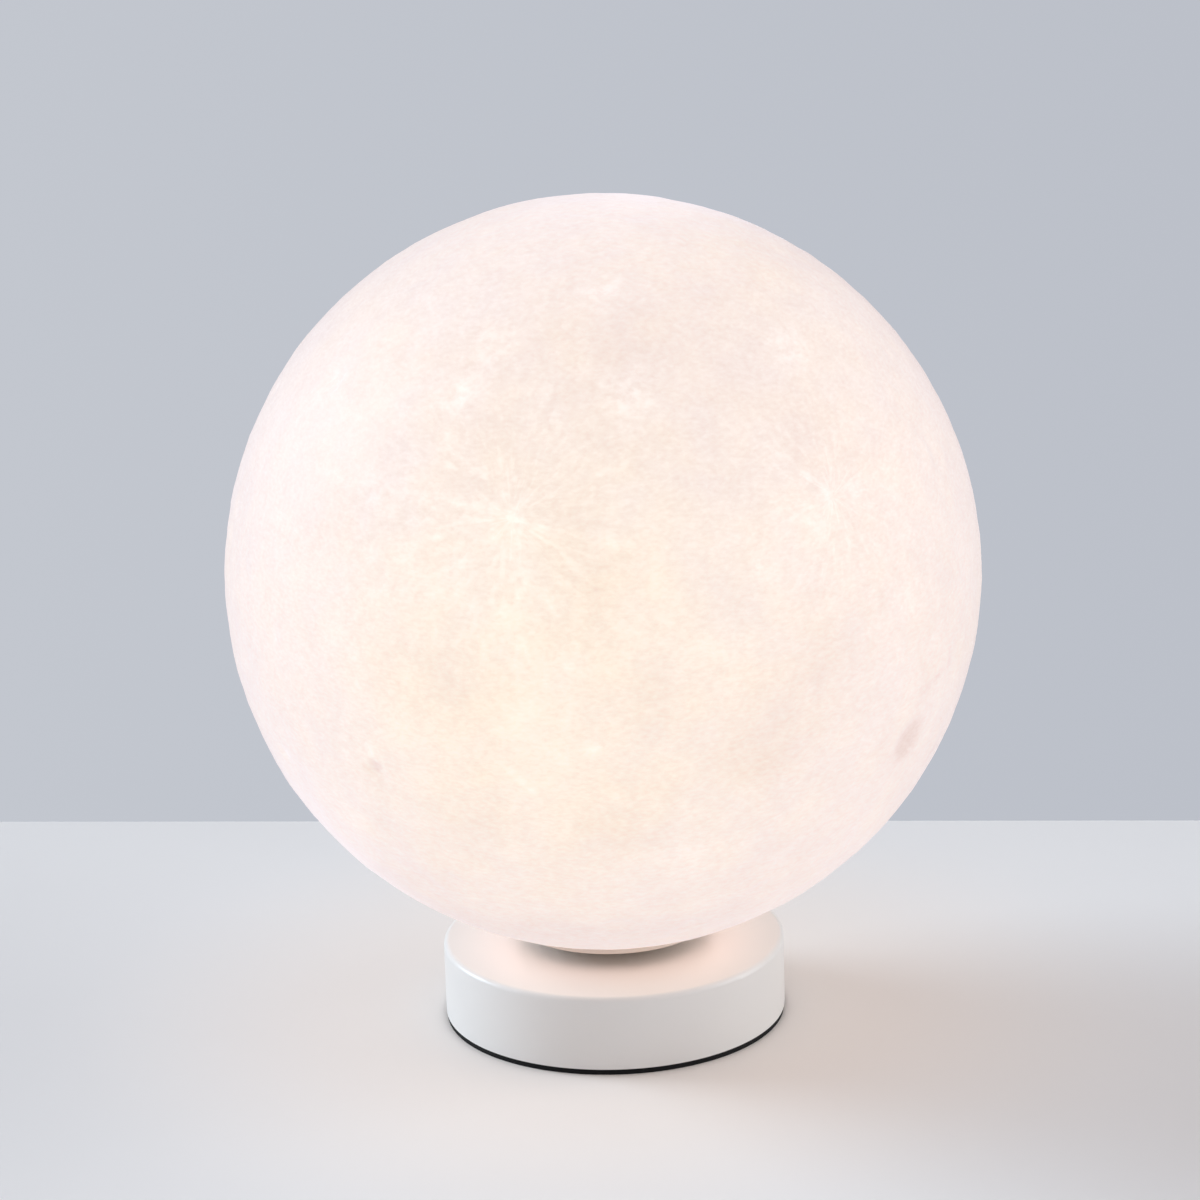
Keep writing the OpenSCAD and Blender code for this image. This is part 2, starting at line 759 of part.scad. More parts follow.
// Heavy disc that keeps the lamp upright
module ballast_disc() {
    color("slategray")
        difference() {
            ring(ballast_r, ballast_hole_r, ballast_t, plate_top);
            translate([0, 0, plate_top])
                around(ballast_screw_angles, ballast_screw_ring)
                    translate([0, 0, -past])
                        cylinder(r = screw_r + thread_fit, h = ballast_screw_l - plate_t + thread_fit + past);
            for (spot = [[block_screw_x, block_y], [earth_x, earth_y]])
                translate([spot[0], spot[1], ballast_top - ballast_bite - thread_fit])
                    cylinder(r = small_screw_r + thread_fit, h = ballast_bite + thread_fit + past);
        }
}

// Foam disc under the base
module foot_pad() {
    color("black")
        cylinder(r = base_r - pad_inset, h = pad_t);
}

// Threaded posts between the base plate and the cover's top
module base_standoffs() {
    color("silver")
        around(standoff_angles, standoff_ring)
            translate([0, 0, plate_top])
                difference() {
                    cylinder(r = standoff_r, h = cover_under - plate_top);
                    translate([0, 0, -past])
                        cylinder(r = screw_r + thread_fit, h = standoff_bite + thread_fit + past);
                }
}

// Screws from below into the standoffs
module base_plate_screws() {
    color("silver")
        translate([0, 0, pad_top])
            around(standoff_angles, standoff_ring)
                countersunk_screw(plate_t + standoff_bite);
}

// Screws from below into the ballast
module ballast_screws() {
    color("silver")
        translate([0, 0, pad_top])
            around(ballast_screw_angles, ballast_screw_ring)
                countersunk_screw(ballast_screw_l);
}

// Cord inlet at the back: its flange is hollowed to sit on the round cover
module cable_gland() {
    color("whitesmoke")
        difference() {
            union() {
                difference() {
                    translate([0, base_r + flange_t, gland_z])
                        rotate([90, 0, 0])
                            cylinder(r = flange_r, h = 2 * flange_t);
                    cylinder(r = base_r, h = cover_top);
                }
                translate([0, gland_in_y, gland_z])
                    rotate([-90, 0, 0])
                        cylinder(r = gland_r, h = base_r + flange_t - gland_in_y);
                translate([0, base_r + flange_t, gland_z])
                    rotate([-90, 0, 0])
                        cylinder(r = nose_r, h = nose_l);
            }
            translate([0, gland_in_y - past, gland_z])
                rotate([-90, 0, 0])
                    cylinder(r = gland_bore_r, h = gland_out_y - gland_in_y + 2 * past);
        }
}

// Nut that holds the gland from inside
module gland_nut() {
    color("whitesmoke")
        translate([0, gland_nut_y, gland_z])
            rotate([90, 0, 0])
                difference() {
                    cylinder(r = gland_nut_r, h = gland_nut_t, $fn = 6);
                    translate([0, 0, -past])
                        cylinder(r = gland_r + thread_fit, h = gland_nut_t + 2 * past);
                }
}

// Places of the block's poles, and of the two screws of each
pole_places = [-pole_pitch, 0, pole_pitch];
pole_screw_places = [for (x = pole_places, side = [-1, 1]) [x, block_y + side * pole_screw_gap / 2]];

// Moulded block that joins the cord's cores to the lamp's own wires
module terminal_block() {
    color("ivory")
        difference() {
            translate([-pole_pitch - block_side, block_front, ballast_top])
                cube([2 * (pole_pitch + block_side), block_d, block_h]);
            for (x = pole_places)
                translate([x, block_front - past, pole_z])
                    rotate([-90, 0, 0])
                        cylinder(r = tube_r + block_fit, h = block_d + 2 * past);
            for (spot = pole_screw_places)
                translate([spot[0], spot[1], pole_z])
                    cylinder(r = terminal_screw_r + block_fit, h = block_h);
            translate([block_screw_x, block_y, ballast_top - past]) {
                cylinder(r = small_screw_r + block_fit, h = block_h + 2 * past);
                translate([0, 0, past + block_h - block_counterbore])
                    cylinder(r = small_head_r + block_fit, h = block_counterbore + past);
            }
        }
}

// Brass tubes in the block
module terminal_tubes() {
    color("goldenrod")
        for (x = pole_places)
            difference() {
                translate([x, block_front + tube_inset, pole_z])
                    rotate([-90, 0, 0])
                        difference() {
                            cylinder(r = tube_r, h = block_d - 2 * tube_inset);
                            translate([0, 0, -past])
                                cylinder(r = tube_r - tube_wall, h = block_d + 2 * past);
                        }
                for (spot = pole_screw_places)
                    translate([spot[0], spot[1], pole_z])
                        cylinder(r = terminal_screw_r + block_fit, h = block_h);
            }
}

// Screws that clamp the wires in the tubes
module terminal_screws() {
    screw_l = block_top - well_depth - pole_z - wire_r;
    color("silver")
        for (spot = pole_screw_places)
            translate([spot[0], spot[1], block_top - well_depth])
                grub_screw(terminal_screw_r, screw_l);
}

// Screw that holds the block on the ballast
module terminal_mount_screw() {
    color("silver")
        translate([block_screw_x, block_y, block_top - block_counterbore])
            slotted_screw(small_screw_r, block_h - block_counterbore + ballast_bite, small_head_r, small_head_h);
}

// Earth screw on the ballast
module earth_screw() {
    color("silver")
        translate([earth_x, earth_y, ballast_top + ring_t])
            slotted_screw(small_screw_r, ring_t + ballast_bite, small_head_r, small_head_h);
}

// Ring terminal of the earth wire
module earth_ring_terminal() {
    barrel_r = wire_r + barrel_wall;
    color("gainsboro")
        difference() {
            union() {
                translate([earth_x, earth_y, ballast_top])
                    cylinder(r = ring_r, h = ring_t);
                translate([barrel_x + barrel_l, earth_y - wire_r, ballast_top])
                    cube([ring_r, 2 * wire_r, ring_t]);
                translate([barrel_x, earth_y, earth_z])
                    rotate([0, 90, 0])
                        cylinder(r = barrel_r, h = barrel_l);
            }
            translate([earth_x, earth_y, ballast_top - past])
                cylinder(r = small_screw_r + thread_fit, h = ring_t + 2 * past);
            translate([barrel_x - past, earth_y, earth_z])
                rotate([0, 90, 0])
                    cylinder(r = wire_r + thread_fit, h = barrel_l + past);
        }
}

module live_wire() {
    color("saddlebrown")
        wire(side_route(-1, -pole_pitch), wire_r);
}

module neutral_wire() {
    color("royalblue")
        wire(side_route(1, 0), wire_r);
}

module earth_wire() {
    color("yellowgreen")
        wire(earth_route, wire_r);
}

// Cup that screws onto the pipe and holds the insert on a ledge
module holder_cap() {
    color("white")
        translate([0, 0, fitter_top])
            rotate_extrude()
                difference() {
                    union() {
                        difference() {
                            translate([0, cap_h])
                                mirror([0, 1])
                                    rounded_section(holder_r, cap_h, cap_round);
                            translate([0, cap_h - ledge_drop])
                                square([holder_in_r, ledge_drop + past]);
                            translate([0, cap_h])
                                mirror([0, 1])
                                    rounded_section(ledge_r, cap_h - cap_floor, hollow_round);
                        }
                        square([nipple_r + thread_fit + boss_wall, boss_h]);
                    }
                    translate([0, -past])
                        square([nipple_r + thread_fit, boss_h + 2 * past]);
                }
}

// Insulating core that carries the contacts
module holder_insert() {
    slot_t = strip_t + 2 * thread_fit;
    slot_d = strip_w + 2 * thread_fit;
    color("white")
        difference() {
            union() {
                translate([0, 0, insert_z])
                    cylinder(r = insert_r, h = rim_z - insert_z);
                translate([0, 0, ledge_z])
                    cylinder(r = holder_in_r - holder_fit, h = insert_flange_t);
            }
            for (x = [-live_leg_x - strip_t, neutral_leg_x])
                translate([x - thread_fit, -slot_d / 2, insert_z - past])
                    cube([slot_t, slot_d, rim_z - insert_z + 2 * past]);
        }
}

// Outer shell above the cap, with a spigot that presses the insert down and a lip round the bulb
module holder_skirt() {
    color("white")
        difference() {
            rotate_extrude()
                difference() {
                    union() {
                        translate([0, rim_z])
                            rounded_section(holder_r, skirt_h, lip_round);
                        translate([0, skirt_z])
                            square([holder_in_r - holder_fit, rim_z - skirt_z + skirt_edge]);
                    }
                    translate([0, skirt_z - past])
                        square([ledge_r, rim_z - skirt_z + skirt_edge + 2 * past]);
                    translate([0, rim_z + skirt_edge])
                        square([holder_in_r, skirt_h - 2 * skirt_edge]);
                    translate([0, rim_z])
                        square([lip_r, skirt_h + past]);
                }
        }
}

// Metal sleeve that the bulb's cap screws into
module threaded_sleeve() {
    color("goldenrod")
        union() {
            ring(sleeve_out_r, sleeve_r, sleeve_h, rim_z);
            ring(sleeve_out_r + sleeve_foot, sleeve_r, sleeve_wall, rim_z);
        }
}

// Live contact: a sprung strip with its raised pad under the bulb, and a leg through the insert
module centre_contact() {
    pad = contact_pad / 2;
    ramp = pad + contact_rise;
    color("goldenrod")
        rotate([90, 0, 0])
            translate([0, 0, -strip_w / 2])
                linear_extrude(strip_w)
                    polygon([
                        [-live_leg_x - strip_t, insert_z], [-live_leg_x, insert_z], [-live_leg_x, rim_z],
                        [-ramp, rim_z], [-pad, contact_z - strip_t], [pad, contact_z - strip_t],
                        [pad, contact_z], [-pad, contact_z], [-ramp, rim_z + strip_t],
                        [-live_leg_x - strip_t, rim_z + strip_t]
                    ]);
}

// Neutral contact: a strip from the sleeve's foot down through the insert
module side_contact() {
    color("goldenrod")
        translate([neutral_leg_x, -strip_w / 2, insert_z])
            cube([strip_t, strip_w, rim_z - insert_z]);
}

// Brass terminals under the insert
module holder_terminals() {
    color("goldenrod")
        for (side = [-1, 1])
            difference() {
                translate([side * terminal_x - terminal_w / 2, -terminal_d / 2, insert_z - terminal_h])
                    cube([terminal_w, terminal_d, terminal_h]);
                translate([side * (terminal_x - terminal_w / 2 - past), 0, terminal_z])
                    rotate([0, side * 90, 0])
                        cylinder(r = wire_r + thread_fit, h = past + terminal_w / 2 + wire_r);
                translate([side * terminal_x, 0, insert_z - terminal_h - past])
                    cylinder(r = terminal_screw_r + thread_fit, h = terminal_h / 2 + past);
            }
}

// Screws from below that clamp the wires in the holder's terminals
module holder_terminal_screws() {
    screw_l = terminal_h / 2 - wire_r + terminal_screw_out;
    color("silver")
        for (side = [-1, 1])
            translate([side * terminal_x, 0, insert_z - terminal_h - terminal_screw_out])
                mirror([0, 0, 1])
                    slotted_screw(terminal_screw_r, screw_l, terminal_screw_r + strip_t, terminal_screw_r);
}

// Round contact at the bulb's lower end
module bulb_tip_contact() {
    color("silver")
        translate([0, 0, contact_z])
            cylinder(r = tip_r, h = tip_t);
}

// Glass insulator between the tip contact and the cap
module bulb_insulator() {
    insulator_r = cap_in_r - thread_fit;
    color("black")
        translate([0, 0, contact_z + tip_t])
            rotate_extrude()
                polygon([
                    [lead_r + thread_fit, 0], [tip_r + insulator_step, 0],
                    [insulator_r - cap_wall, insulator_h],
                    [insulator_r - cap_wall, insulator_h + insulator_in],
                    [lead_r + thread_fit, insulator_h + insulator_in]
                ]);
}

// Screw cap of the bulb, with its thread as rounded rings
module bulb_cap() {
    thread_l = cap_crests * cap_pitch;
    steps = cap_crests * wave_steps;
    wave = [for (i = [0 : steps])
        [cap_r - cap_thread_depth * (1 + cos(360 * i / wave_steps)) / 2, cap_pitch * i / wave_steps]];
    color("silver")
        translate([0, 0, bulb_cap_z])
            rotate_extrude()
                polygon(concat(
                    wave,
                    [
                        [cap_r, thread_l + cap_thread_depth], [cap_r, cap_l], [cap_in_r, cap_l],
                        [cap_in_r, cap_wall], [cap_in_r - cap_wall, cap_wall], [cap_in_r - cap_wall, 0]
                    ]
                ));
}

// Housing of the bulb: neck in the cap, plain collar, then a flare up to the dome
module bulb_housing() {
    collar_top = bulb_cap_top + neck_collar;
    flare_z = dome_edge_z - led_board_t - led_ledge;
    neck_in_r = neck_r - housing_wall;
    ledge_in_r = led_seat_r - led_ledge;
    color("white")
        rotate_extrude()
            polygon([
                [neck_in_r, bulb_cap_top - neck_l], [neck_r, bulb_cap_top - neck_l],
                [neck_r, bulb_cap_top], [cap_r, bulb_cap_top], [cap_r, collar_top],
                [housing_rim_r - rim_step, flare_z], [housing_rim_r, dome_edge_z],
                [led_seat_r, dome_edge_z], [led_seat_r, led_board_z],
                [ledge_in_r, led_board_z], [ledge_in_r, flare_z],
                [cap_r - housing_wall, collar_top], [neck_in_r, bulb_cap_top]
            ]);
}

// Frosted dome of the bulb
module bulb_diffuser() {
    color("white")
        translate([0, 0, dome_z])
            difference() {
                sphere(bulb_r);
                sphere(bulb_r - dome_wall);
                translate([0, 0, -bulb_r - dome_rise])
                    cylinder(r = bulb_r + past, h = bulb_r);
            }
}

// Disc that carries the light-emitting chips
module bulb_led_board() {
    color("gainsboro")
        translate([0, 0, led_board_z])
            cylinder(r = led_seat_r - led_board_fit, h = led_board_t);
}

// Light-emitting chips in a circle
module bulb_leds() {
    color("khaki")
        translate([0, 0, dome_edge_z])
            around([for (i = [0 : led_count - 1]) i * 360 / led_count], led_ring)
                translate([-led_w / 2, -led_w / 2, 0])
                    cube([led_w, led_w, led_h]);
}

// Circuit board that stands under the disc
module bulb_driver_board() {
    color("darkgreen")
        translate([-driver_w / 2, -driver_t / 2, driver_z])
            cube([driver_w, driver_t, led_board_z - driver_z]);
}

// Capacitor at the back of the board and transformer at its front
module bulb_driver_parts() {
    parts_z = bulb_cap_top + neck_collar - capacitor_h / 2;
    color("dimgray") {
        translate([0, driver_t / 2 + capacitor_r, parts_z])
            cylinder(r = capacitor_r, h = capacitor_h);
        translate([-coil_w / 2, -driver_t / 2 - coil_d, parts_z])
            cube([coil_w, coil_d, coil_w]);
    }
}

// Lead to the tip contact and lead to the cap
module bulb_leads() {
    side_lead_z = driver_z + 2 * lead_r;
    color("silver") {
        translate([0, 0, contact_z + tip_t])
            cylinder(r = lead_r, h = driver_z - contact_z - tip_t);
        translate([driver_w / 2, 0, side_lead_z])
            rotate([0, 90, 0])
                cylinder(r = lead_r, h = cap_in_r - thread_fit - driver_w / 2);
    }
}

moon_shell();
shade_gasket();
shade_plate();
retaining_springs();
spring_rivets();
spacer_bush();
nipple();
nipple_lock_washer();
nipple_lock_nut();
base_cover();
base_plate();
ballast_disc();
foot_pad();
base_standoffs();
base_plate_screws();
ballast_screws();
cable_gland();
gland_nut();
terminal_block();
terminal_tubes();
terminal_screws();
terminal_mount_screw();
earth_screw();
earth_ring_terminal();
live_wire();
neutral_wire();
earth_wire();
holder_cap();
holder_insert();
holder_skirt();
threaded_sleeve();
centre_contact();
side_contact();
holder_terminals();
holder_terminal_screws();
bulb_tip_contact();
bulb_insulator();
bulb_cap();
bulb_housing();
bulb_diffuser();
bulb_led_board();
bulb_leds();
bulb_driver_board();
bulb_driver_parts();
bulb_leads();
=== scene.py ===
"""Moon lamp: a glowing printed moon on a low, round, white base.

Sizes are in millimetres until they reach a mesh, a light or the camera, which are in metres.
Longitude and latitude on the globe are in degrees: 0, 0 faces the front, and longitude grows to
the right.
"""

import json
import math

import bmesh
import bpy
import numpy as np
from mathutils import Matrix, Vector, noise


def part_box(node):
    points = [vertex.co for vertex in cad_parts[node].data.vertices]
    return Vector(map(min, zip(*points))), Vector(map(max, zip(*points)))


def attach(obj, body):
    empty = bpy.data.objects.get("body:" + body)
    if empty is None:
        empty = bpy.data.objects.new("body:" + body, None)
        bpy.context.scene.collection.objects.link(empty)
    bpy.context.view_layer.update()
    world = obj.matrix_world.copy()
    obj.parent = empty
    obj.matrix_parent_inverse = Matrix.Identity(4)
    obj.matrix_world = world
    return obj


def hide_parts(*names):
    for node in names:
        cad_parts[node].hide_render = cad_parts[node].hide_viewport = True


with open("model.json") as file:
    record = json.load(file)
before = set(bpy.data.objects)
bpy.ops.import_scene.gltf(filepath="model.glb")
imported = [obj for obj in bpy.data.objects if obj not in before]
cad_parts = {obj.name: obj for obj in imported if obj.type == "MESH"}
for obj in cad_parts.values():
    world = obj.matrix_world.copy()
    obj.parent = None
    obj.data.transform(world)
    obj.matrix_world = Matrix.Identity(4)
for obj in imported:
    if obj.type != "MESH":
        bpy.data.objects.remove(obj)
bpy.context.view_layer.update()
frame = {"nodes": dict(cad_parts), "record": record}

MM = 0.001


def linear(code):
    """A hex colour as sRGB, turned into the linear colour that a shader takes."""
    parts = [int(code[k : k + 2], 16) / 255 for k in (1, 3, 5)]
    return tuple(
        p / 12.92 if p <= 0.04045 else ((p + 0.055) / 1.055) ** 2.4 for p in parts
    ) + (1.0,)


def per_mm(size):
    """The Scale of a texture whose pattern repeats about once in this many millimetres."""
    return 1 / (size * MM)


# ---------------------------------------------------------------- nodes

MIX_A, MIX_B, MIX_RESULT = 6, 7, 2  # the colour sockets of a Mix node


def add(tree, kind, inputs=None, **settings):
    """A node with its settings, and each input set to a value or linked to a socket."""
    made = tree.nodes.new(kind)
    for name, value in settings.items():
        setattr(made, name, value)
    for key, value in (inputs or {}).items():
        if isinstance(value, bpy.types.NodeSocket):
            tree.links.new(value, made.inputs[key])
        else:
            made.inputs[key].default_value = value
    return made


def start_finish(name):
    """An empty material, its node tree and the place on the piece, in metres."""
    material = bpy.data.materials.new(name)
    material.use_nodes = True
    tree = material.node_tree
    tree.nodes.clear()
    place = add(tree, "ShaderNodeTexCoord").outputs["Object"]
    return material, tree, place


def close_finish(tree, shader_inputs, relief=None, depth=0.0):
    """The surface shader with its inputs, over a relief of this depth in millimetres."""
    if relief is not None:
        bump = add(
            tree,
            "ShaderNodeBump",
            {"Height": relief, "Distance": depth * MM, "Strength": 1.0},
        )
        shader_inputs = {**shader_inputs, "Normal": bump.outputs["Normal"]}
    shader = add(tree, "ShaderNodeBsdfPrincipled", shader_inputs)
    add(tree, "ShaderNodeOutputMaterial", {"Surface": shader.outputs["BSDF"]})


def mottled(tree, place, dark, light, size, detail=3.0):
    """A colour that drifts between two others in soft patches of this size in millimetres."""
    patches = add(
        tree,
        "ShaderNodeTexNoise",
        {"Vector": place, "Scale": per_mm(size), "Detail": detail},
    )
    mixed = add(
        tree,
        "ShaderNodeMix",
        {"Factor": patches.outputs["Fac"], MIX_A: linear(dark), MIX_B: linear(light)},
        data_type="RGBA",
    )
    return mixed.outputs[MIX_RESULT]


def ranged(tree, value, low, high):
    """A pattern of 0 to 1 spread over a range, for a roughness."""
    spread = add(
        tree, "ShaderNodeMapRange", {"Value": value, "To Min": low, "To Max": high}
    )
    return spread.outputs["Result"]


def grain(tree, place, size, detail=2.0, stretch=(1, 1, 1)):
    """Fine noise of this size in millimetres, drawn out along the axes where stretch is over 1."""
    turned = add(
        tree,
        "ShaderNodeMapping",
        {"Vector": place, "Scale": tuple(1 / s for s in stretch)},
    )
    made = add(
        tree,
        "ShaderNodeTexNoise",
        {"Vector": turned.outputs["Vector"], "Scale": per_mm(size), "Detail": detail},
    )
    return made.outputs["Fac"]


# ---------------------------------------------------------------- the moon globe

globe_low, globe_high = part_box("moon_shell")
GLOBE_R = 125.0
GLOBE_WALL = 2.0
GLOBE_Z = globe_high.z / MM - GLOBE_R
FOOT_Z = globe_low.z / MM
MOUTH_R = 29.8
COLLAR_WALL = 1.8
COLLAR_H = 10.0
FOOT_R = math.sqrt(GLOBE_R**2 - (GLOBE_Z - FOOT_Z) ** 2)

CUBE_CUTS = 112  # across each face of the cube that is blown up into the globe
INNER_RINGS = 44  # from the collar up to the top of the hollow
FOOT_FADE = 12.0  # height above the foot over which the relief dies away
FOOT_NICK = 0.35  # how far the ragged edge of the first printed layer strays
FOOT_NICKS = 14  # how often it does so: cells of noise over the foot's radius

# Large craters: longitude, latitude, rim radius and depth
CRATERS = [
    (-14, 24, 4.5, 0.50), (38, 23, 3.5, 0.40), (-37, -16, 5.0, 0.60), (53, -17, 8.0, 0.50),
    (-2, -9, 3.0, 0.35), (-27, 41, 4.0, 0.40), (6, 41, 6.0, 0.45), (2, 61, 5.0, 0.45),
    (43, 44, 5.0, 0.40), (-60, 40, 7.0, 0.50), (24, 15, 3.5, 0.35), (1, -48, 6.0, 0.50),
    (-31, -37, 6.0, 0.50), (31, -42, 7.0, 0.45), (-67, 8, 6.0, 0.45), (68, 22, 6.0, 0.40),
    (-75, -32, 8.0, 0.50), (84, -34, 6.0, 0.45), (112, 12, 9.0, 0.50), (-112, 18, 8.0, 0.50),
    (148, 38, 7.0, 0.50), (-150, 44, 9.0, 0.45), (160, -14, 6.0, 0.45), (-158, -8, 9.0, 0.50),
    (130, -38, 9.0, 0.50), (-125, -36, 7.0, 0.50), (178, -44, 8.0, 0.45), (100, 52, 7.0, 0.45),
    (-96, 58, 6.0, 0.40), (-176, 66, 6.0, 0.45),
]
RIM_SHARE = 0.3  # height of a rim over the depth of its bowl
RIM_WIDTH = 0.22  # of the rim radius
SMALL_CRATERS = 240
SMALL_RIM_R = (2.4, 5.0)
SMALL_DEPTH = 0.07  # of the rim radius
SMALL_LOWEST = -0.93  # sine of the lowest latitude they reach, just above the foot
SMALL_BRIGHT = 0.35  # the most that one adds to the bright map
SEED = 17

# Low plains, a little darker and smoother: longitude, latitude, radius and strength
PLAINS = [
    (-22, 1, 24, 0.9), (-3, 15, 20, 0.8), (5, -1, 26, 1.0), (1, -22, 20, 0.8),
    (-20, -23, 20, 0.7), (23, -9, 22, 0.7), (33, 0, 18, 0.6), (38, 32, 20, 0.7),
    (7, 52, 16, 0.6), (28, 57, 14, 0.5), (-46, 20, 20, 0.5), (60, 6, 18, 0.5),
    (118, 4, 26, 0.8), (-128, 26, 24, 0.8), (168, 22, 26, 0.9), (-165, -22, 22, 0.7),
    (140, -26, 20, 0.7), (-104, -14, 22, 0.7), (96, -18, 18, 0.6), (-142, 58, 18, 0.5),
]

# Bright spots round young craters: longitude, latitude, radius and strength
SPOTS = [
    (-13.8, 23.8, 5.0, 1.0), (38, 23, 4.0, 0.9), (34, 19.5, 7.0, 0.7), (-27, 41, 8.0, 0.9),
    (-22, 50, 7.0, 0.7), (6, 41, 10.0, 1.0), (2, 60, 9.0, 0.8), (43, 46, 9.0, 0.9),
    (-60, 40, 8.0, 0.5), (-19, 11.5, 3.0, 0.8), (24, 15, 5.0, 0.8), (48.5, 5, 6.0, 0.7),
    (-2, -9, 3.0, 0.8), (14, 5, 3.0, 0.6), (-37, -13, 3.0, 0.7), (12, -30, 9.0, 0.4),
    (120, 30, 5.0, 0.9), (-140, 6, 6.0, 0.9), (172, -6, 5.0, 0.8), (-95, -40, 6.0, 0.6),
    (95, 20, 6.0, 0.6), (150, 58, 7.0, 0.6), (-118, 46, 6.0, 0.6), (60, -52, 9.0, 0.5),
]

# Bright rays and ridges, each a chain of points on the globe, and its half width
RAY_BRIGHT = 0.6  # of a ray where it starts, in the bright map
RAY_FADE = 0.6  # share of a ray's brightness that is gone at its far end
RAYS = [
    (((-14, 24), (-24, 26), (-34, 27), (-42, 26), (-52, 27)), 1.8),
    (((-15, 22), (-22, 17), (-25, 13), (-28, 6), (-29, -1), (-31, -9)), 1.9),
    (((-13, 21), (-12.6, 14.5), (-12, 6), (-13, -5.5)), 1.5),
    (((-12, 21), (-11, 17), (-8.5, 13), (-6, 9)), 1.5),
    (((-12, 23), (-6, 21.6), (-0.5, 20.4), (5, 20)), 1.6),
    (((-12, 26), (-10, 28.5), (-4, 30), (4, 31)), 1.5),
    (((-15, 26), (-18, 33), (-20, 39)), 1.4),
    (((-13, 22), (-5, 14), (4, 8), (11, 4)), 1.0),
    (((37, 24), (33, 28), (27, 33)), 1.3),
    (((40, 23), (46, 23.5), (52, 25), (58, 28)), 1.5),
    (((37, 21), (34, 17), (31, 12)), 1.2),
    (((-16, -11), (-14.5, -12.7), (-11, -16.7), (-8.4, -20)), 1.0),
    (((-38, -2), (-42, -10), (-43, -17), (-40, -24)), 1.2),
    (((120, 30), (108, 34), (98, 33)), 1.8),
    (((120, 30), (124, 18), (126, 6)), 1.7),
    (((120, 30), (132, 36), (142, 44)), 1.5),
    (((120, 30), (112, 22), (104, 12)), 1.3),
    (((-140, 6), (-128, 10), (-116, 10)), 1.8),
    (((-140, 6), (-146, 18), (-150, 30)), 1.6),
    (((-140, 6), (-150, -2), (-158, -12)), 1.6),
    (((-140, 6), (-134, -6), (-130, -18)), 1.4),
]

# Cool, dark marks: longitude, latitude, half length, half width, tilt and strength
MARKS = [
    (53, -17.5, 8.0, 6.2, 60, 0.9), (57, -9, 6.5, 1.1, 24, 0.5), (62, -7, 4.0, 1.1, 95, 0.4),
    (-37, -15, 2.6, 1.8, 60, 0.8), (-1, 14, 1.0, 1.0, 0, 0.5), (-10.6, -48, 0.9, 0.9, 0, 0.9),
    (93, 46, 62.0, 12.0, 76, 0.2), (-10, -54, 60.0, 14.0, 0, 0.2), (66, -24, 6.0, 2.0, 50, 0.4),
    (-120, -24, 7.0, 3.4, 30, 0.7), (146, 8, 6.0, 3.0, 120, 0.6),
]

# Painted warm glow: broad patches where the glow is drawn warmer and brighter, strongest at the
# front and the back: longitude, latitude, radius and strength
PAINTED_WARM_GLOW_SPOTS = [
    (-14, -4, 76, 0.9), (12, 10, 60, 0.4), (172, -6, 75, 0.9), (88, -4, 42, 0.4),
    (-92, -4, 42, 0.4),
]
SPOT_FALL = 1.6  # how fast a soft spot falls off towards its radius

# Rolling ground: the size of its hills and their height, then the same of its bumps
HILL_SIZE, HILL_H = 17.0, 0.24
BUMP_SIZE, BUMP_H = 6.0, 0.13
DRIFT_SIZE = 46.0
LOWLAND_DRIFT, WARM_DRIFT = 0.5, 0.25  # how far broad drifts ruffle the plains and warm places
LOWLAND_DROP = 0.20
LOWLAND_CALM = 0.6  # share of the hills' height that a plain takes away


def on_globe(lon, lat):
    """The direction of a place on the globe, as a unit vector."""
    lon, lat = math.radians(lon), math.radians(lat)
    return np.array(
        [math.cos(lat) * math.sin(lon), -math.cos(lat) * math.cos(lon), math.sin(lat)]
    )


def reach(ways, lon, lat):
    """How far each direction's point on the globe lies from a place on it, in millimetres."""
    return GLOBE_R * np.arccos(np.clip(ways @ on_globe(lon, lat), -1, 1))


def soft_spot(distance, radius):
    """1 at the middle of a spot, falling smoothly to nearly 0 at its radius."""
    return np.exp(-SPOT_FALL * (distance / radius) ** 2)


def bowl(distance, rim_r, depth):
    """Height of the ground round a crater: a shallow bowl inside a raised rim."""
    share = distance / rim_r
    inside = np.where(share < 1, depth * (share**2 - 1), 0)
    return inside + RIM_SHARE * depth * np.exp(-(((share - 1) / RIM_WIDTH) ** 2))


def ray_glow(ways, chain, half_w):
    """How much of a ray lies on each point: the nearer to the chain's line, the more."""
    best = np.zeros(len(ways))
    points = [GLOBE_R * on_globe(*p) for p in chain]
    for k, (a, b) in enumerate(zip(points, points[1:])):
        along = b - a
        share = np.clip(((GLOBE_R * ways - a) @ along) / (along @ along), 0, 1)
        off = np.linalg.norm(GLOBE_R * ways - a - share[:, None] * along, axis=1)
        fade = 1 - RAY_FADE * (k + share) / (len(points) - 1)
        best = np.maximum(best, fade * np.exp(-((off / half_w) ** 2)))
    return best


def mark_depth(ways, lon, lat, half_l, half_w, tilt):
    """1 inside a long oval mark on the globe, falling off softly at its edge."""
    out = on_globe(lon, lat)
    east = np.cross([0, 0, 1], out)
    east = east / np.linalg.norm(east)
    north = np.cross(out, east)
    turn = math.radians(tilt)
    long_way = math.cos(turn) * east + math.sin(turn) * north
    cross_way = -math.sin(turn) * east + math.cos(turn) * north
    at = GLOBE_R * ways
    off = np.hypot(at @ long_way / half_l, at @ cross_way / half_w)
    return np.where(ways @ out > 0, np.exp(-(off**4)), 0)


def rough_ground(ways, size, seed_shift):
    """Fractal noise of about -1 to 1, with features of this size, from its own part of space."""
    shift = Vector((seed_shift, 2 * seed_shift, -seed_shift))
    return np.array(
        [noise.fractal(Vector(w) * (GLOBE_R / size) + shift, 0.9, 2.0, 4) for w in ways]
    )


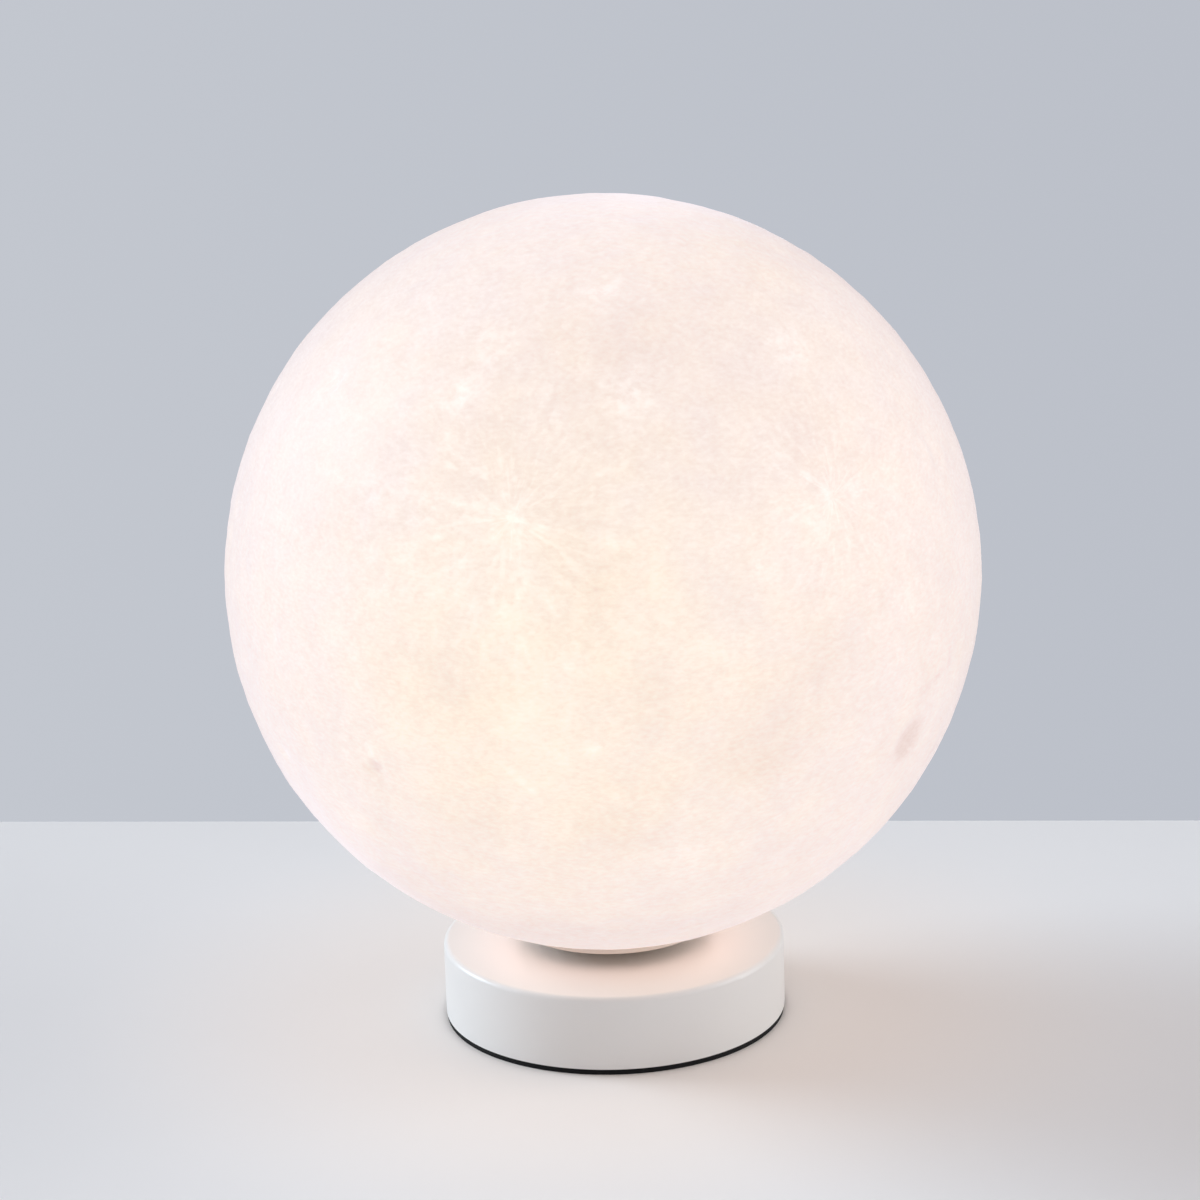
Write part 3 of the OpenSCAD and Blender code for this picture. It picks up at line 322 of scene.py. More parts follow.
def moon_map(ways):
    """Relief in millimetres, and the maps lowland, bright, mark and warm from 0 to 1."""
    broad = rough_ground(ways, DRIFT_SIZE, 3.7)
    lowland = sum(s * soft_spot(reach(ways, lon, lat), r) for lon, lat, r, s in PLAINS)
    lowland = np.clip(lowland + LOWLAND_DRIFT * broad, 0, 1)

    relief = HILL_H * rough_ground(ways, HILL_SIZE, 9.1) * (1 - LOWLAND_CALM * lowland)
    relief += BUMP_H * rough_ground(ways, BUMP_SIZE, 21.3)
    relief -= LOWLAND_DROP * lowland
    for lon, lat, rim_r, depth in CRATERS:
        relief += bowl(reach(ways, lon, lat), rim_r, depth)

    bright = np.zeros(len(ways))
    draw = np.random.default_rng(SEED)
    for _ in range(SMALL_CRATERS):
        lon = draw.uniform(-180, 180)
        lat = math.degrees(math.asin(draw.uniform(SMALL_LOWEST, 1)))
        rim_r = draw.uniform(*SMALL_RIM_R)
        relief += bowl(reach(ways, lon, lat), rim_r, SMALL_DEPTH * rim_r)
        bright += draw.uniform(0, SMALL_BRIGHT) * soft_spot(reach(ways, lon, lat), 0.9 * rim_r)
    for lon, lat, r, strength in SPOTS:
        bright += strength * soft_spot(reach(ways, lon, lat), r)
    for chain, half_w in RAYS:
        bright = np.maximum(bright, RAY_BRIGHT * ray_glow(ways, chain, half_w))
    mark = np.zeros(len(ways))
    for lon, lat, half_l, half_w, tilt, strength in MARKS:
        mark = np.maximum(mark, strength * mark_depth(ways, lon, lat, half_l, half_w, tilt))
    # Painted warm glow: the patches above, which make the glow warmer and brighter
    warm = sum(s * soft_spot(reach(ways, lon, lat), r) for lon, lat, r, s in PAINTED_WARM_GLOW_SPOTS)
    warm = np.clip(warm + WARM_DRIFT * broad, 0, 1)
    return relief, lowland, np.clip(bright, 0, 1), mark, warm


def grow_ring(bm, ring, radius, z, inner):
    """Extrudes a ring of edges to a new radius and height, marks it as inside and returns it."""
    grown = bmesh.ops.extrude_edge_only(bm, edges=ring)["geom"]
    for v in (g for g in grown if isinstance(g, bmesh.types.BMVert)):
        across = Vector((v.co.x, v.co.y, 0)).normalized()
        v.co = across * radius * MM + Vector((0, 0, z * MM))
        v[inner] = 1.0
    return [g for g in grown if isinstance(g, bmesh.types.BMEdge)]


def moon_globe(material):
    """The printed moon: a cube blown up round, with relief, a cut foot, a collar and a hollow."""
    bm = bmesh.new()
    bmesh.ops.create_cube(bm, size=2)
    bmesh.ops.subdivide_edges(bm, edges=bm.edges[:], cuts=CUBE_CUTS, use_grid_fill=True)
    ways = np.array([v.co for v in bm.verts])
    ways = np.tan(ways * math.pi / 4)
    ways = ways / np.linalg.norm(ways, axis=1)[:, None]
    relief, *maps = moon_map(ways)
    height = ways[:, 2] * GLOBE_R + GLOBE_Z - FOOT_Z
    relief = relief * np.clip(height / FOOT_FADE, 0, 1)
    layers = [bm.verts.layers.float.new(n) for n in ("lowland", "bright", "mark", "warm")]
    inner = bm.verts.layers.float.new("inner")
    for v, way, rise, *values in zip(bm.verts, ways, relief, *maps):
        v.co = Vector(way) * (GLOBE_R + rise) * MM + Vector((0, 0, GLOBE_Z * MM))
        for layer, value in zip(layers, values):
            v[layer] = value
    bmesh.ops.bisect_plane(
        bm,
        geom=bm.verts[:] + bm.edges[:] + bm.faces[:],
        dist=1e-6,
        plane_co=(0, 0, FOOT_Z * MM),
        plane_no=(0, 0, 1),
        clear_inner=True,
    )
    ring = [e for e in bm.edges if e.is_boundary]
    for v in {v for e in ring for v in e.verts}:
        across = Vector((v.co.x, v.co.y, 0)).normalized()
        nick = FOOT_NICK * noise.noise(across * FOOT_NICKS)
        v.co = across * (FOOT_R + nick) * MM + Vector((0, 0, FOOT_Z * MM))
    collar_top = FOOT_Z + COLLAR_H
    collar_out_r = MOUTH_R + COLLAR_WALL
    hollow_r = GLOBE_R - GLOBE_WALL
    low_angle = math.asin(collar_out_r / hollow_r)
    for radius, z in ((MOUTH_R, FOOT_Z), (MOUTH_R, collar_top), (collar_out_r, collar_top)):
        ring = grow_ring(bm, ring, radius, z, inner)
    for k in range(INNER_RINGS):
        angle = low_angle + (math.pi - low_angle) * k / INNER_RINGS
        ring = grow_ring(
            bm, ring, hollow_r * math.sin(angle), GLOBE_Z - hollow_r * math.cos(angle), inner
        )
    bmesh.ops.edgeloop_fill(bm, edges=ring)
    bmesh.ops.recalc_face_normals(bm, faces=bm.faces[:])
    return make_piece("moon_globe", bm, material)


def make_piece(name, bm, material, smooth_under=40):
    """A finished mesh as an object at the origin, smooth except across edges sharper than this."""
    mesh = bpy.data.meshes.new(name)
    bm.to_mesh(mesh)
    bm.free()
    mesh.shade_smooth()
    mesh.set_sharp_from_angle(angle=math.radians(smooth_under))
    mesh.materials.append(material)
    piece = bpy.data.objects.new(name, mesh)
    bpy.context.scene.collection.objects.link(piece)
    return piece


# What the bulb's light looks like once it is through the wall: the least and the most of it,
# and the tints that its cool and its warm parts give it
GLOW_DIM, GLOW_FULL = "#DAC4AD", "#F7F2E1"
GLOW_COOL, GLOW_WARM = "#F3EDF5", "#FFF9F2"
GLOW_STRENGTH = 1.05
LEAK_TOP = 7.0  # height above the foot below which light leaks out round the collar
LEAK_GLOW = "#AC7C6C"
INNER_DIM, INNER_FULL = "#D6B896", "#E2C8A8"  # the bulb's light drawn as a glow on the bare inside wall, yellower than the skin
SKIN_DARK, SKIN_LIGHT = "#86848A", "#8F8D92"  # low, because the glow adds to what it reflects
LAYER_GRAIN = 1.15
LAYER_STRETCH = (1.75, 1.75, 0.95)  # level grains, longer than they are high

# Young craters that fine rays spread from: longitude, latitude and reach
RAY_CRATERS = [(-13.8, 23.8, 92.0), (38, 23, 50.0), (120, 30, 70.0), (-140, 6, 80.0)]
RAY_CELLS = 36.0  # cells of the rays' noise once round a crater
RAY_WANDER = 45.0  # distance along a ray over which it wanders off or breaks
RAY_CUT = (0.5, 0.72)  # the part of the noise that goes from no ray to a full one


def bring_together(tree, shares, start):
    """The sum of some patterns, each times its weight, on top of a start, held within 0 to 1."""
    total = start
    for pattern, weight in shares:
        total = add(
            tree,
            "ShaderNodeMath",
            {0: pattern, 1: weight, 2: total},
            operation="MULTIPLY_ADD",
        ).outputs[0]
    return add(tree, "ShaderNodeClamp", {"Value": total}).outputs[0]


def ray_fan(tree, place, lon, lat, length):
    """Fine broken streaks, from 0 to 1, that spread from a crater and die away within a length."""
    out = on_globe(lon, lat)
    middle = out * GLOBE_R + np.array([0, 0, GLOBE_Z])
    away = add(
        tree,
        "ShaderNodeVectorMath",
        {0: place, 1: tuple(middle * MM)},
        operation="SUBTRACT",
    ).outputs["Vector"]
    upright = add(
        tree, "ShaderNodeVectorMath", {0: away, 1: tuple(out)}, operation="PROJECT"
    ).outputs["Vector"]
    level = add(
        tree, "ShaderNodeVectorMath", {0: away, 1: upright}, operation="SUBTRACT"
    ).outputs["Vector"]
    way = add(tree, "ShaderNodeVectorMath", {0: level}, operation="NORMALIZE").outputs["Vector"]
    around = add(
        tree,
        "ShaderNodeVectorMath",
        {0: away, 1: (per_mm(RAY_WANDER),) * 3, 2: way},
        operation="MULTIPLY_ADD",
    ).outputs["Vector"]
    streaks = add(
        tree,
        "ShaderNodeTexNoise",
        {"Vector": around, "Scale": RAY_CELLS / math.tau, "Detail": 2.0},
    ).outputs["Fac"]
    thin = add(
        tree,
        "ShaderNodeMapRange",
        {"Value": streaks, "From Min": RAY_CUT[0], "From Max": RAY_CUT[1]},
    ).outputs["Result"]
    distance = add(tree, "ShaderNodeVectorMath", {0: away}, operation="LENGTH").outputs["Value"]
    fade = add(
        tree,
        "ShaderNodeMapRange",
        {"Value": distance, "From Min": 0.0, "From Max": length * MM, "To Min": 1.0, "To Max": 0.0},
        interpolation_type="SMOOTHSTEP",
    ).outputs["Result"]
    return add(tree, "ShaderNodeMath", {0: thin, 1: fade}, operation="MULTIPLY").outputs[0]


def passed_light(tree, place, grains, specks, lowland, bright, mark, warm):
    """How much of the bulb's light comes through, 0 to 1: about the middle on plain ground."""
    broken = add(
        tree,
        "ShaderNodeMapRange",
        {"Value": specks, "From Min": 0.40, "From Max": 0.62, "To Min": 0.25, "To Max": 1.0},
    ).outputs["Result"]
    bright_ground = add(
        tree, "ShaderNodeMath", {0: bright, 1: broken}, operation="MULTIPLY"
    ).outputs[0]
    rays = bring_together(tree, [(ray_fan(tree, place, *c), 1.0) for c in RAY_CRATERS], start=0.0)
    return bring_together(
        tree,
        [
            (grains, 0.62),
            (specks, 0.22),
            (grain(tree, place, 11.0, 4.0), 0.26),  # blotches
            (grain(tree, place, 32.0, 3.0), 0.16),  # clouds
            (lowland, -0.18),
            # the painted warm glow, which also brightens the light that comes through
            (warm, 0.12),
            (bright_ground, 0.36),
            (rays, 0.24),
            (mark, -0.42),
        ],
        start=-0.125,
    )


def outer_glow(tree, place, passed, mark, warm):
    """The light that leaves the skin: dim to full, cool to warm, and more of it at the foot."""
    glow = add(
        tree,
        "ShaderNodeMix",
        {"Factor": passed, MIX_A: linear(GLOW_DIM), MIX_B: linear(GLOW_FULL)},
        data_type="RGBA",
    )
    warmth = bring_together(
        tree, [(warm, 0.75), (grain(tree, place, 14.0, 3.0), 0.7), (mark, -0.5)], start=-0.25
    )
    tint = add(
        tree,
        "ShaderNodeMix",
        {"Factor": warmth, MIX_A: linear(GLOW_COOL), MIX_B: linear(GLOW_WARM)},
        data_type="RGBA",
    )
    tinted = add(
        tree,
        "ShaderNodeMix",
        {"Factor": 1.0, MIX_A: glow.outputs[MIX_RESULT], MIX_B: tint.outputs[MIX_RESULT]},
        data_type="RGBA",
        blend_type="MULTIPLY",
    )
    height = add(tree, "ShaderNodeSeparateXYZ", {"Vector": place}).outputs["Z"]
    leak = add(
        tree,
        "ShaderNodeMapRange",
        {
            "Value": height,
            "From Min": FOOT_Z * MM,
            "From Max": (FOOT_Z + LEAK_TOP) * MM,
            "To Min": 1.0,
            "To Max": 0.0,
        },
        interpolation_type="SMOOTHSTEP",
    )
    return add(
        tree,
        "ShaderNodeMix",
        {
            "Factor": leak.outputs["Result"],
            MIX_A: tinted.outputs[MIX_RESULT],
            MIX_B: linear(LEAK_GLOW),
        },
        data_type="RGBA",
        blend_type="ADD",
    ).outputs[MIX_RESULT]


def printed_moon_plastic():
    """Warm white PLA, printed layer on layer as a wall 2 mm thick, lit from inside by the bulb.

    The glow passes a little less through the plains. The matt skin is rough with the ends of the
    layers, as short level grains. They are drawn 2 mm long and 1.1 mm high, coarser than the real
    layers of 0.2 mm, so that they show. Its fine fuzz catches the light of the room at a flat
    angle, as cloth does, which cools the limb.
    """
    material, tree, place = start_finish("printed_moon_plastic")
    lowland, bright, mark, warm, inner = (
        add(tree, "ShaderNodeAttribute", attribute_name=n).outputs["Fac"]
        for n in ("lowland", "bright", "mark", "warm", "inner")
    )
    grains = grain(tree, place, LAYER_GRAIN, 2.5, stretch=LAYER_STRETCH)
    specks = grain(tree, place, 3.2, 3.0, stretch=(1.3, 1.3, 1))
    passed = passed_light(tree, place, grains, specks, lowland, bright, mark, warm)
    glow = add(
        tree,
        "ShaderNodeMix",
        {
            "Factor": inner,
            MIX_A: outer_glow(tree, place, passed, mark, warm),
            MIX_B: mottled(tree, place, INNER_DIM, INNER_FULL, 24.0),
        },
        data_type="RGBA",
    )
    skin = add(
        tree,
        "ShaderNodeMix",
        {"Factor": passed, MIX_A: linear(SKIN_DARK), MIX_B: linear(SKIN_LIGHT)},
        data_type="RGBA",
    )
    close_finish(
        tree,
        {
            "Base Color": skin.outputs[MIX_RESULT],
            "Roughness": ranged(tree, grains, 0.55, 0.75),
            "Sheen Weight": 0.5,
            "Sheen Roughness": 0.5,
            "Sheen Tint": linear("#F0ECFF"),
            "Emission Color": glow.outputs[MIX_RESULT],
            "Emission Strength": GLOW_STRENGTH,
        },
        bring_together(tree, [(grains, 0.7), (specks, 0.5)], start=-0.1),
        0.16,
    )
    material.cycles.emission_sampling = "NONE"
    return material


# ---------------------------------------------------------------- finishes of the CAD pieces


PEEL_SIZE, PEEL_DEPTH = 2.4, 0.002  # orange peel of the powder coat
PLATE_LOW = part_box("shade_plate")[0].z / MM
PLATE_UNDER_GLOW, PLATE_EDGE_GLOW = 0.05, 0.03  # painted light: the glow of the plate's underside and of the rest of it, its edge included


def coat(tree, place, peel, dark, light):
    """What the surface shader takes for baked polyester powder coat: satin and even."""
    return {
        "Base Color": mottled(tree, place, dark, light, 30.0),
        "Roughness": ranged(tree, peel, 0.29, 0.31),
        "IOR": 1.5,
    }


def white_coat():
    """White powder coat on the base: satin, with the faintest orange peel."""
    material, tree, place = start_finish("white_powder_coat")
    peel = grain(tree, place, PEEL_SIZE, 0.0)
    close_finish(tree, coat(tree, place, peel, "#ECEBE9", "#EFEEEC"), peel, PEEL_DEPTH)
    return material


def cream_coat_with_painted_glow():
    """Cream powder coat on the plate under the globe.

    The globe's glow is drawn no brighter than white, which sends too little light into the
    narrow space over the base. The underside of the plate glows a little to make up for it, and
    its edge a little less: painted light.
    """
    material, tree, place = start_finish("cream_powder_coat_painted_glow")
    peel = grain(tree, place, PEEL_SIZE, 0.0)
    height = add(tree, "ShaderNodeSeparateXYZ", {"Vector": place}).outputs["Z"]
    plate_glow = add(
        tree,
        "ShaderNodeMapRange",
        {
            "Value": height,
            "From Min": (PLATE_LOW + 0.1) * MM,
            "From Max": (PLATE_LOW + 0.4) * MM,
            "To Min": PLATE_UNDER_GLOW,
            "To Max": PLATE_EDGE_GLOW,
        },
    )
    close_finish(
        tree,
        {
            **coat(tree, place, peel, "#D1CAC2", "#D5CFC7"),
            # painted light: the plate's glow, strongest on its underside
            "Emission Color": linear("#FFC89C"),
            "Emission Strength": plate_glow.outputs["Result"],
        },
        peel,
        PEEL_DEPTH,
    )
    return material


def zinc_plate():
    """Bright zinc plate on turned steel: pale grey metal, a little cloudy."""
    material, tree, place = start_finish("zinc_plated_steel")
    clouds = grain(tree, place, 5.0, 4.0)
    close_finish(
        tree,
        {
            "Base Color": mottled(tree, place, "#A9ADB0", "#C4C8CA", 4.0),
            "Metallic": 1.0,
            "Roughness": ranged(tree, clouds, 0.25, 0.42),
        },
        grain(tree, place, 0.5),
        0.01,
    )
    return material


def spring_steel():
    """Blue-grey hardened strip, fine brushed along its length."""
    material, tree, place = start_finish("hardened_spring_steel")
    brushed = grain(tree, place, 0.4, 2.0, stretch=(1, 1, 12))
    close_finish(
        tree,
        {
            "Base Color": mottled(tree, place, "#7F868C", "#9BA1A6", 6.0),
            "Metallic": 1.0,
            "Roughness": ranged(tree, brushed, 0.25, 0.4),
        },
        brushed,
        0.01,
    )
    return material


def cast_iron():
    """Cast iron disc under a thin grey paint: dull, grainy."""
    material, tree, place = start_finish("painted_cast_iron")
    skin = grain(tree, place, 2.2, 5.0)
    close_finish(
        tree,
        {
            "Base Color": mottled(tree, place, "#4A4B4D", "#5E5F61", 6.0, 5.0),
            "Metallic": 0.3,
            "Roughness": ranged(tree, skin, 0.6, 0.8),
        },
        skin,
        0.15,
    )
    return material


def foam_pad():
    """Closed-cell black EVA foam, die cut: matt, with fine open cells on the cut edge."""
    material, tree, place = start_finish("black_eva_foam")
    cells = add(
        tree,
        "ShaderNodeTexVoronoi",
        {"Vector": place, "Scale": per_mm(0.9)},
    ).outputs["Distance"]
    close_finish(
        tree,
        {
            "Base Color": mottled(tree, place, "#0D0D0E", "#181819", 3.0),
            "Roughness": 0.9,
            "Specular IOR Level": 0.3,
        },
        cells,
        0.08,
    )
    return material


def moulded_plastic(name, dark, light, rough, pore=0.6, depth=0.02, gloss=0.5):
    """A moulded part: its two close shades, its roughness and gloss, and its mould's texture."""
    material, tree, place = start_finish(name)
    texture = grain(tree, place, pore)
    close_finish(
        tree,
        {
            "Base Color": mottled(tree, place, dark, light, 8.0),
            "Roughness": ranged(tree, texture, rough - 0.05, rough + 0.05),
            "Specular IOR Level": gloss,
        },
        texture,
        depth,
    )
    return material


def brushed_brass():
    """Pressed brass strip, rubbed bright: yellow metal with fine lines."""
    material, tree, place = start_finish("pressed_brass")
    lines = grain(tree, place, 0.5, 3.0, stretch=(1, 1, 8))
    close_finish(
        tree,
        {
            "Base Color": mottled(tree, place, "#B8923F", "#D3B264", 5.0),
            "Metallic": 1.0,
            "Roughness": ranged(tree, lines, 0.25, 0.4),
        },
        lines,
        0.01,
    )
    return material


def plated_metal(name, dark, light, rough):
    """A thin plated coat on pressed metal, slightly cloudy."""
    material, tree, place = start_finish(name)
    clouds = grain(tree, place, 3.0, 3.0)
    close_finish(
        tree,
        {
            "Base Color": mottled(tree, place, dark, light, 4.0),
            "Metallic": 1.0,
            "Roughness": ranged(tree, clouds, rough - 0.06, rough + 0.08),
        },
        clouds,
        0.01,
    )
    return material


DOME_GLOW = ("#FFE6C8", "#FFEDD6")
DOME_STRENGTH = 0.92


def frosted_dome():
    """Opal polycarbonate dome, frosted inside, lit evenly by the chips beneath.

    Its own colour is darker than the real one's, so that the glow and the room's light together
    stay just under white.
    """
    material, tree, place = start_finish("opal_polycarbonate")
    haze = grain(tree, place, 6.0, 2.0)
    glow = add(
        tree,
        "ShaderNodeMix",
        {"Factor": haze, MIX_A: linear(DOME_GLOW[0]), MIX_B: linear(DOME_GLOW[1])},
        data_type="RGBA",
    )
    close_finish(
        tree,
        {
            "Base Color": mottled(tree, place, "#706E6C", "#787674", 8.0),
            "Roughness": 0.35,
            "IOR": 1.58,
            "Emission Color": glow.outputs[MIX_RESULT],
            "Emission Strength": DOME_STRENGTH,
        },
        grain(tree, place, 0.8),
        0.01,
    )
    material.cycles.emission_sampling = "NONE"
    return material


def finishes():
    """Every finish, by the record's material slot."""
    return {
        "moon_print": printed_moon_plastic(),
        "white_powder_coat": white_coat(),
        "zinc_steel": zinc_plate(),
        "spring_steel": spring_steel(),
        "cast_ballast": cast_iron(),
        "black_foam": foam_pad(),
        # Silicone rubber: clear and soft, so milky and nearly matt in a thin ring
        "clear_silicone": moulded_plastic("milky_silicone", "#D9D8D6", "#E4E3E1", 0.5, 2.0),
        # Glass-filled nylon: off-white with a fine dull texture
        "white_nylon": moulded_plastic("white_nylon", "#E6E4DF", "#EFEDE8", 0.5),
        # Turned acetal: black and dull, so that the bush is lost in the shade of the plate; its
        # near-black brown is partly its own black and partly painted warm shade under the plate
        "black_bush": moulded_plastic("black_acetal_painted_shade", "#15100B", "#1D1610", 0.7, gloss=0.15),
        # Urea thermoset: hard, bright white, and glossier than nylon
        "white_thermoset": moulded_plastic("white_urea_thermoset", "#EDEBE6", "#F3F1ED", 0.32),
        # PBT of the bulb's body: white with a satin skin
        "white_housing": moulded_plastic("white_pbt_housing", "#ECEBE9", "#F2F1EF", 0.42),
        # Drawn PVC round the wires: full colours with a soft gloss
        "brown_insulation": moulded_plastic("brown_pvc", "#5A3A26", "#68452F", 0.45),
        "blue_insulation": moulded_plastic("blue_pvc", "#2C63A6", "#3871B6", 0.45),
        "green_insulation": moulded_plastic("green_pvc", "#3E8A3C", "#4C9A48", 0.45),
        # Black glass round the bulb's tip: smooth and glossy
        "black_glass": moulded_plastic("black_glass", "#0C0C0E", "#151517", 0.12, 3.0, 0.01),
        # Solder mask on a circuit board: deep green and shiny
        "green_board": moulded_plastic("green_solder_mask", "#1F5A36", "#2A6B42", 0.3),
        # Moulded epoxy of the circuit's parts: near black, slightly glossy
        "black_parts": moulded_plastic("black_epoxy", "#19191B", "#242426", 0.4),
        # Phosphor in silicone over the chips: dull yellow
        "led_phosphor": moulded_plastic("yellow_phosphor", "#E8C64A", "#F0D463", 0.5),
        "contact_brass": brushed_brass(),
        # Tin on copper: warm grey, smooth and a little cloudy
        "tinned_copper": plated_metal("tinned_copper", "#B5B1AA", "#CBC8C2", 0.3),
        # Nickel on brass: yellowish silver, the brightest of the metals here
        "nickel_cap": plated_metal("nickel_plated_brass", "#B9B4AB", "#D0CCC4", 0.22),
        # Rolled aluminium of the chips' board: light, even grey
        "board_aluminium": plated_metal("rolled_aluminium", "#B8BABC", "#CFD1D2", 0.35),
        "frosted_dome": frosted_dome(),
    }


def paint_cad(made):
    """Gives every CAD node the finish of its slot in the record, but the plate a cream coat with a
    painted glow.
    """
    for part in frame["record"]["subparts"]:
        finish = made[part["material_slot"]]
        if part["node"] == "shade_plate":
            finish = cream_coat_with_painted_glow()
        mesh = frame["nodes"][part["node"]].data
        mesh.materials.clear()
        mesh.materials.append(finish)


# ---------------------------------------------------------------- table, light and camera

TABLE_EDGE_Y = 186.5  # behind the lamp, on its centre line
TABLE_EDGE_SLOPE = -0.083
TABLE_HALF_W = 1800.0
TABLE_DEPTH = 2400.0
TABLE_T = 30.0
TABLE_ROUND = 1.5
POOL_IN, POOL_OUT = 70.0, 200.0  # the painted warm pool of light round the lamp fades out between these radii
PAINTED_LIGHT_POOL = "#F3EEEA"
FAR_LACQUER = ("#E8E8E9", "#EBEBEC")


def table_finish():
    """Pale grey matt lacquer on board, faintly cloudy, with a painted pool of lighter, warmer light
    round the lamp.

    That pool stands for the globe's light on the table, which a glow drawn no brighter than
    white leaves too faint.
    """
    material, tree, place = start_finish("pale_matt_lacquer_painted_pool")
    away = add(tree, "ShaderNodeVectorMath", {0: place}, operation="LENGTH").outputs["Value"]
    far = add(
        tree,
        "ShaderNodeMapRange",
        {"Value": away, "From Min": POOL_IN * MM, "From Max": POOL_OUT * MM},
        interpolation_type="SMOOTHSTEP",
    ).outputs["Result"]
    # The lacquer's own colour far off, and the painted pool of light near the lamp
    lacquer = add(
        tree,
        "ShaderNodeMix",
        {
            "Factor": far,
            MIX_A: linear(PAINTED_LIGHT_POOL),
            MIX_B: mottled(tree, place, *FAR_LACQUER, 120.0),
        },
        data_type="RGBA",
    ).outputs[MIX_RESULT]
    close_finish(
        tree,
        {
            "Base Color": lacquer,
            "Roughness": 0.75,
            "Specular IOR Level": 0.15,
        },
        grain(tree, place, 1.2),
        0.01,
    )
    return material


def table_top():
    """The table that the lamp stands on, ending in a slightly slanted edge behind it."""
    bm = bmesh.new()
    bmesh.ops.create_cube(bm, size=1)
    bmesh.ops.scale(
        bm, verts=bm.verts, vec=(2 * TABLE_HALF_W * MM, TABLE_DEPTH * MM, TABLE_T * MM)
    )
    bmesh.ops.bevel(
        bm,
        geom=bm.edges[:],
        offset=TABLE_ROUND * MM,
        segments=3,
        profile=0.5,
        affect="EDGES",
        material=-1,
    )
    turn = Matrix.Rotation(math.atan(TABLE_EDGE_SLOPE), 4, "Z")
    place = Matrix.Translation((0, TABLE_EDGE_Y * MM, 0)) @ turn
    place = place @ Matrix.Translation((0, -TABLE_DEPTH * MM / 2, -TABLE_T * MM / 2))
    bmesh.ops.transform(bm, matrix=place, verts=bm.verts)
    table = make_piece("table", bm, table_finish())


# The wall is painted a little lighter on the left than on the right: painted light.
WALL_LEFT, WALL_RIGHT = "#C3C7CF", "#BCC0C9"
WALL_TURN = 0.16  # sine of the angle either side over which the wall goes from one to the other
AMBIENT = "#F6F2F6"
AMBIENT_STRENGTH = 0.43


def surroundings():
    """A plain blue-grey wall for the eye and for gloss, and a soft even light from all round."""
    world = bpy.data.worlds.new("studio")
    world.use_nodes = True
    bpy.context.scene.world = world
    tree = world.node_tree
    tree.nodes.clear()
    seen = add(tree, "ShaderNodeLightPath")
    sharp = add(
        tree,
        "ShaderNodeMath",
        {0: seen.outputs["Is Glossy Ray"], 1: seen.outputs["Is Transmission Ray"]},
        operation="MAXIMUM",
    )
    shown = add(
        tree,
        "ShaderNodeMath",
        {0: seen.outputs["Is Camera Ray"], 1: sharp.outputs[0]},
        operation="MAXIMUM",
    )
    way = add(
        tree,
        "ShaderNodeSeparateXYZ",
        {"Vector": add(tree, "ShaderNodeTexCoord").outputs["Generated"]},
    )
    across = add(
        tree,
        "ShaderNodeMapRange",
        {"Value": way.outputs["X"], "From Min": -WALL_TURN, "From Max": WALL_TURN},
    )
    wall = add(
        tree,
        "ShaderNodeMix",
        {
            "Factor": across.outputs["Result"],
            MIX_A: linear(WALL_LEFT),
            MIX_B: linear(WALL_RIGHT),
        },
        data_type="RGBA",
    )
    wall_light = add(tree, "ShaderNodeBackground", {"Color": wall.outputs[MIX_RESULT]})
    ambient = add(
        tree,
        "ShaderNodeBackground",
        {"Color": linear(AMBIENT), "Strength": AMBIENT_STRENGTH},
    )
    mixed = add(
        tree,
        "ShaderNodeMixShader",
        {0: shown.outputs[0], 1: ambient.outputs[0], 2: wall_light.outputs[0]},
    )
    add(tree, "ShaderNodeOutputWorld", {"Surface": mixed.outputs[0]})


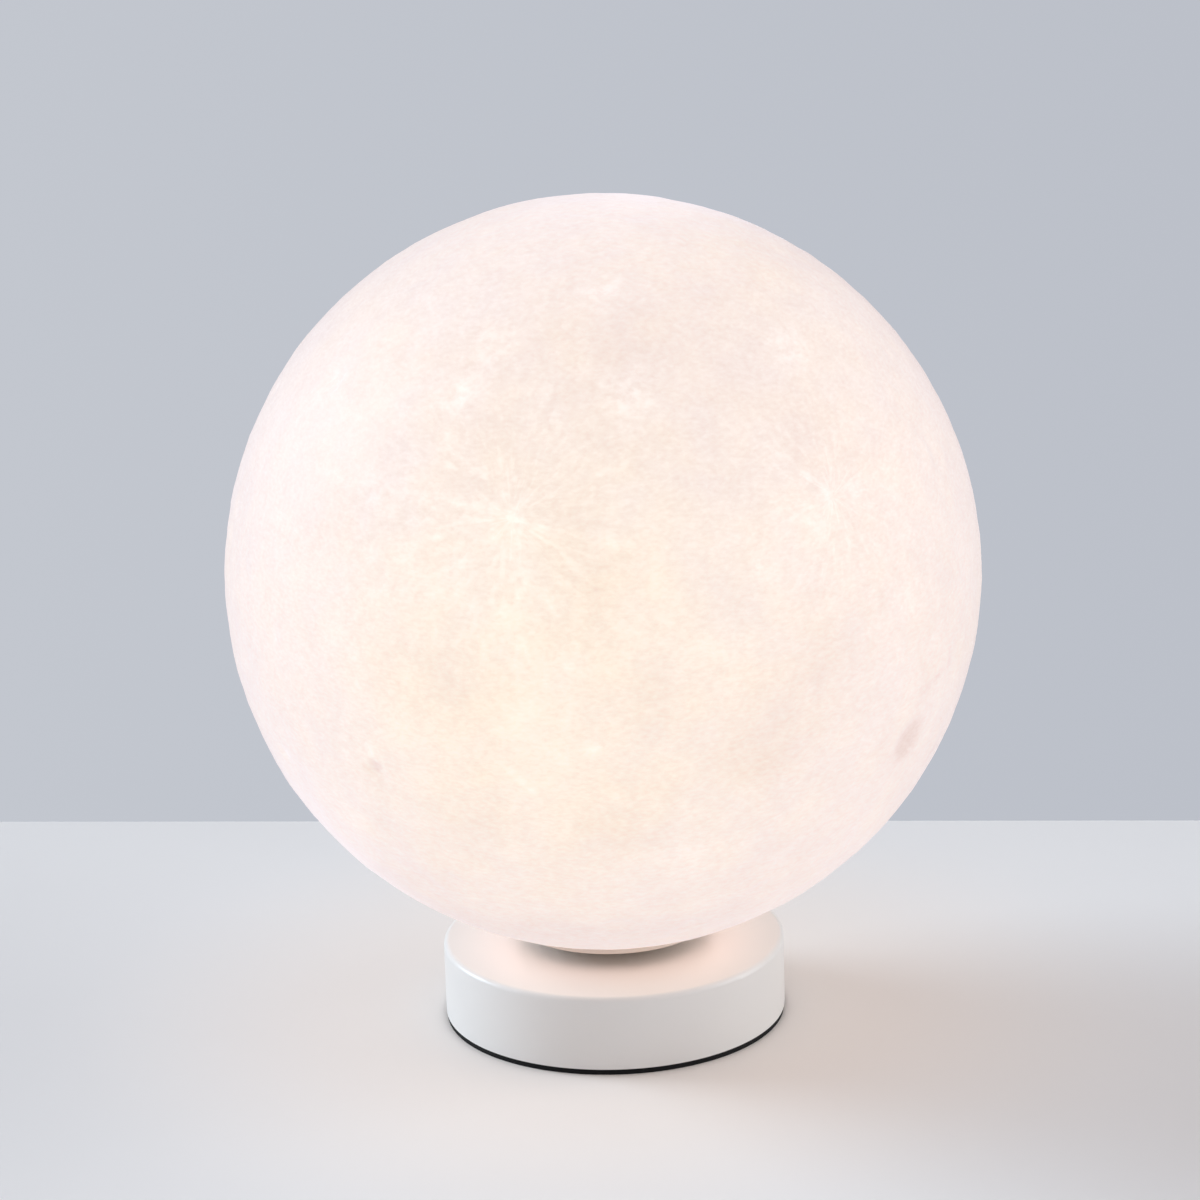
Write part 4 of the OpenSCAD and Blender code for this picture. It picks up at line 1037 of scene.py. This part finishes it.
# Each light's name, the way it comes from, its spread in degrees, its share and its colour.
# A share of 1 lights a white surface that faces it fully.
LIGHTS = [
    ("window_left", (-1560, 570, 690), 27, 0.625, "#DDF1FF"),
    ("return_right", (1550, 60, 404), 44, 0.355, "#FDFFFF"),
    ("return_front", (-200, -1700, 644), 34, 0.03, "#FFF6F4"),
    ("ceiling", (-150, -100, 1744), 41, 0.13, "#FFFFFF"),
]


def lights():
    """Daylight from a window on the left, its returns from right and front, and a top light.

    They are parallel, so that the table is lit as evenly far off as it is by the lamp.
    """
    for name, toward, spread, share, colour in LIGHTS:
        light = bpy.data.lights.new(name, "SUN")
        light.angle = math.radians(spread)
        light.color = linear(colour)[:3]
        light.energy = share * math.pi
        lamp = bpy.data.objects.new(name, light)
        lamp.rotation_mode = "QUATERNION"
        lamp.rotation_quaternion = (-Vector(toward)).to_track_quat("-Z", "Y")
        bpy.context.scene.collection.objects.link(lamp)


CAMERA_AIM = (-1.3, 0.0, 146.0)
CAMERA_ELEVATION = 16.85  # degrees, as the roll is
CAMERA_DISTANCE = 1300.0
CAMERA_ROLL = -1.7
LENS_PIXELS = 3907.0  # focal length in pixels of the 1200 pixel frame
FRAME_PIXELS = 1200.0
SENSOR = 36.0
NEAREST, FARTHEST = 0.05, 20.0  # in metres


def camera():
    """The photograph's view: from slightly above, with a long lens and a touch of roll."""
    data = bpy.data.cameras.new("camera")
    data.sensor_width = SENSOR
    data.lens = LENS_PIXELS / FRAME_PIXELS * SENSOR
    data.clip_start, data.clip_end = NEAREST, FARTHEST
    view = bpy.data.objects.new("camera", data)
    up = math.radians(CAMERA_ELEVATION)
    aim = Vector(CAMERA_AIM) * MM
    back = Vector((0, -math.cos(up), math.sin(up)))
    view.location = aim + back * CAMERA_DISTANCE * MM
    turn = (-back).to_track_quat("-Z", "Y").to_matrix().to_4x4()
    roll = Matrix.Rotation(math.radians(CAMERA_ROLL), 4, "Z")
    view.rotation_mode = "QUATERNION"
    view.rotation_quaternion = (turn @ roll).to_quaternion()
    bpy.context.scene.collection.objects.link(view)
    bpy.context.scene.camera = view


# ---------------------------------------------------------------- all together

bpy.context.scene.view_settings.view_transform = "Standard"
camera()
surroundings()
lights()
table_top()
made = finishes()
paint_cad(made)

globe = moon_globe(made["moon_print"])
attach(globe, "moon_globe")
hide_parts("moon_shell")
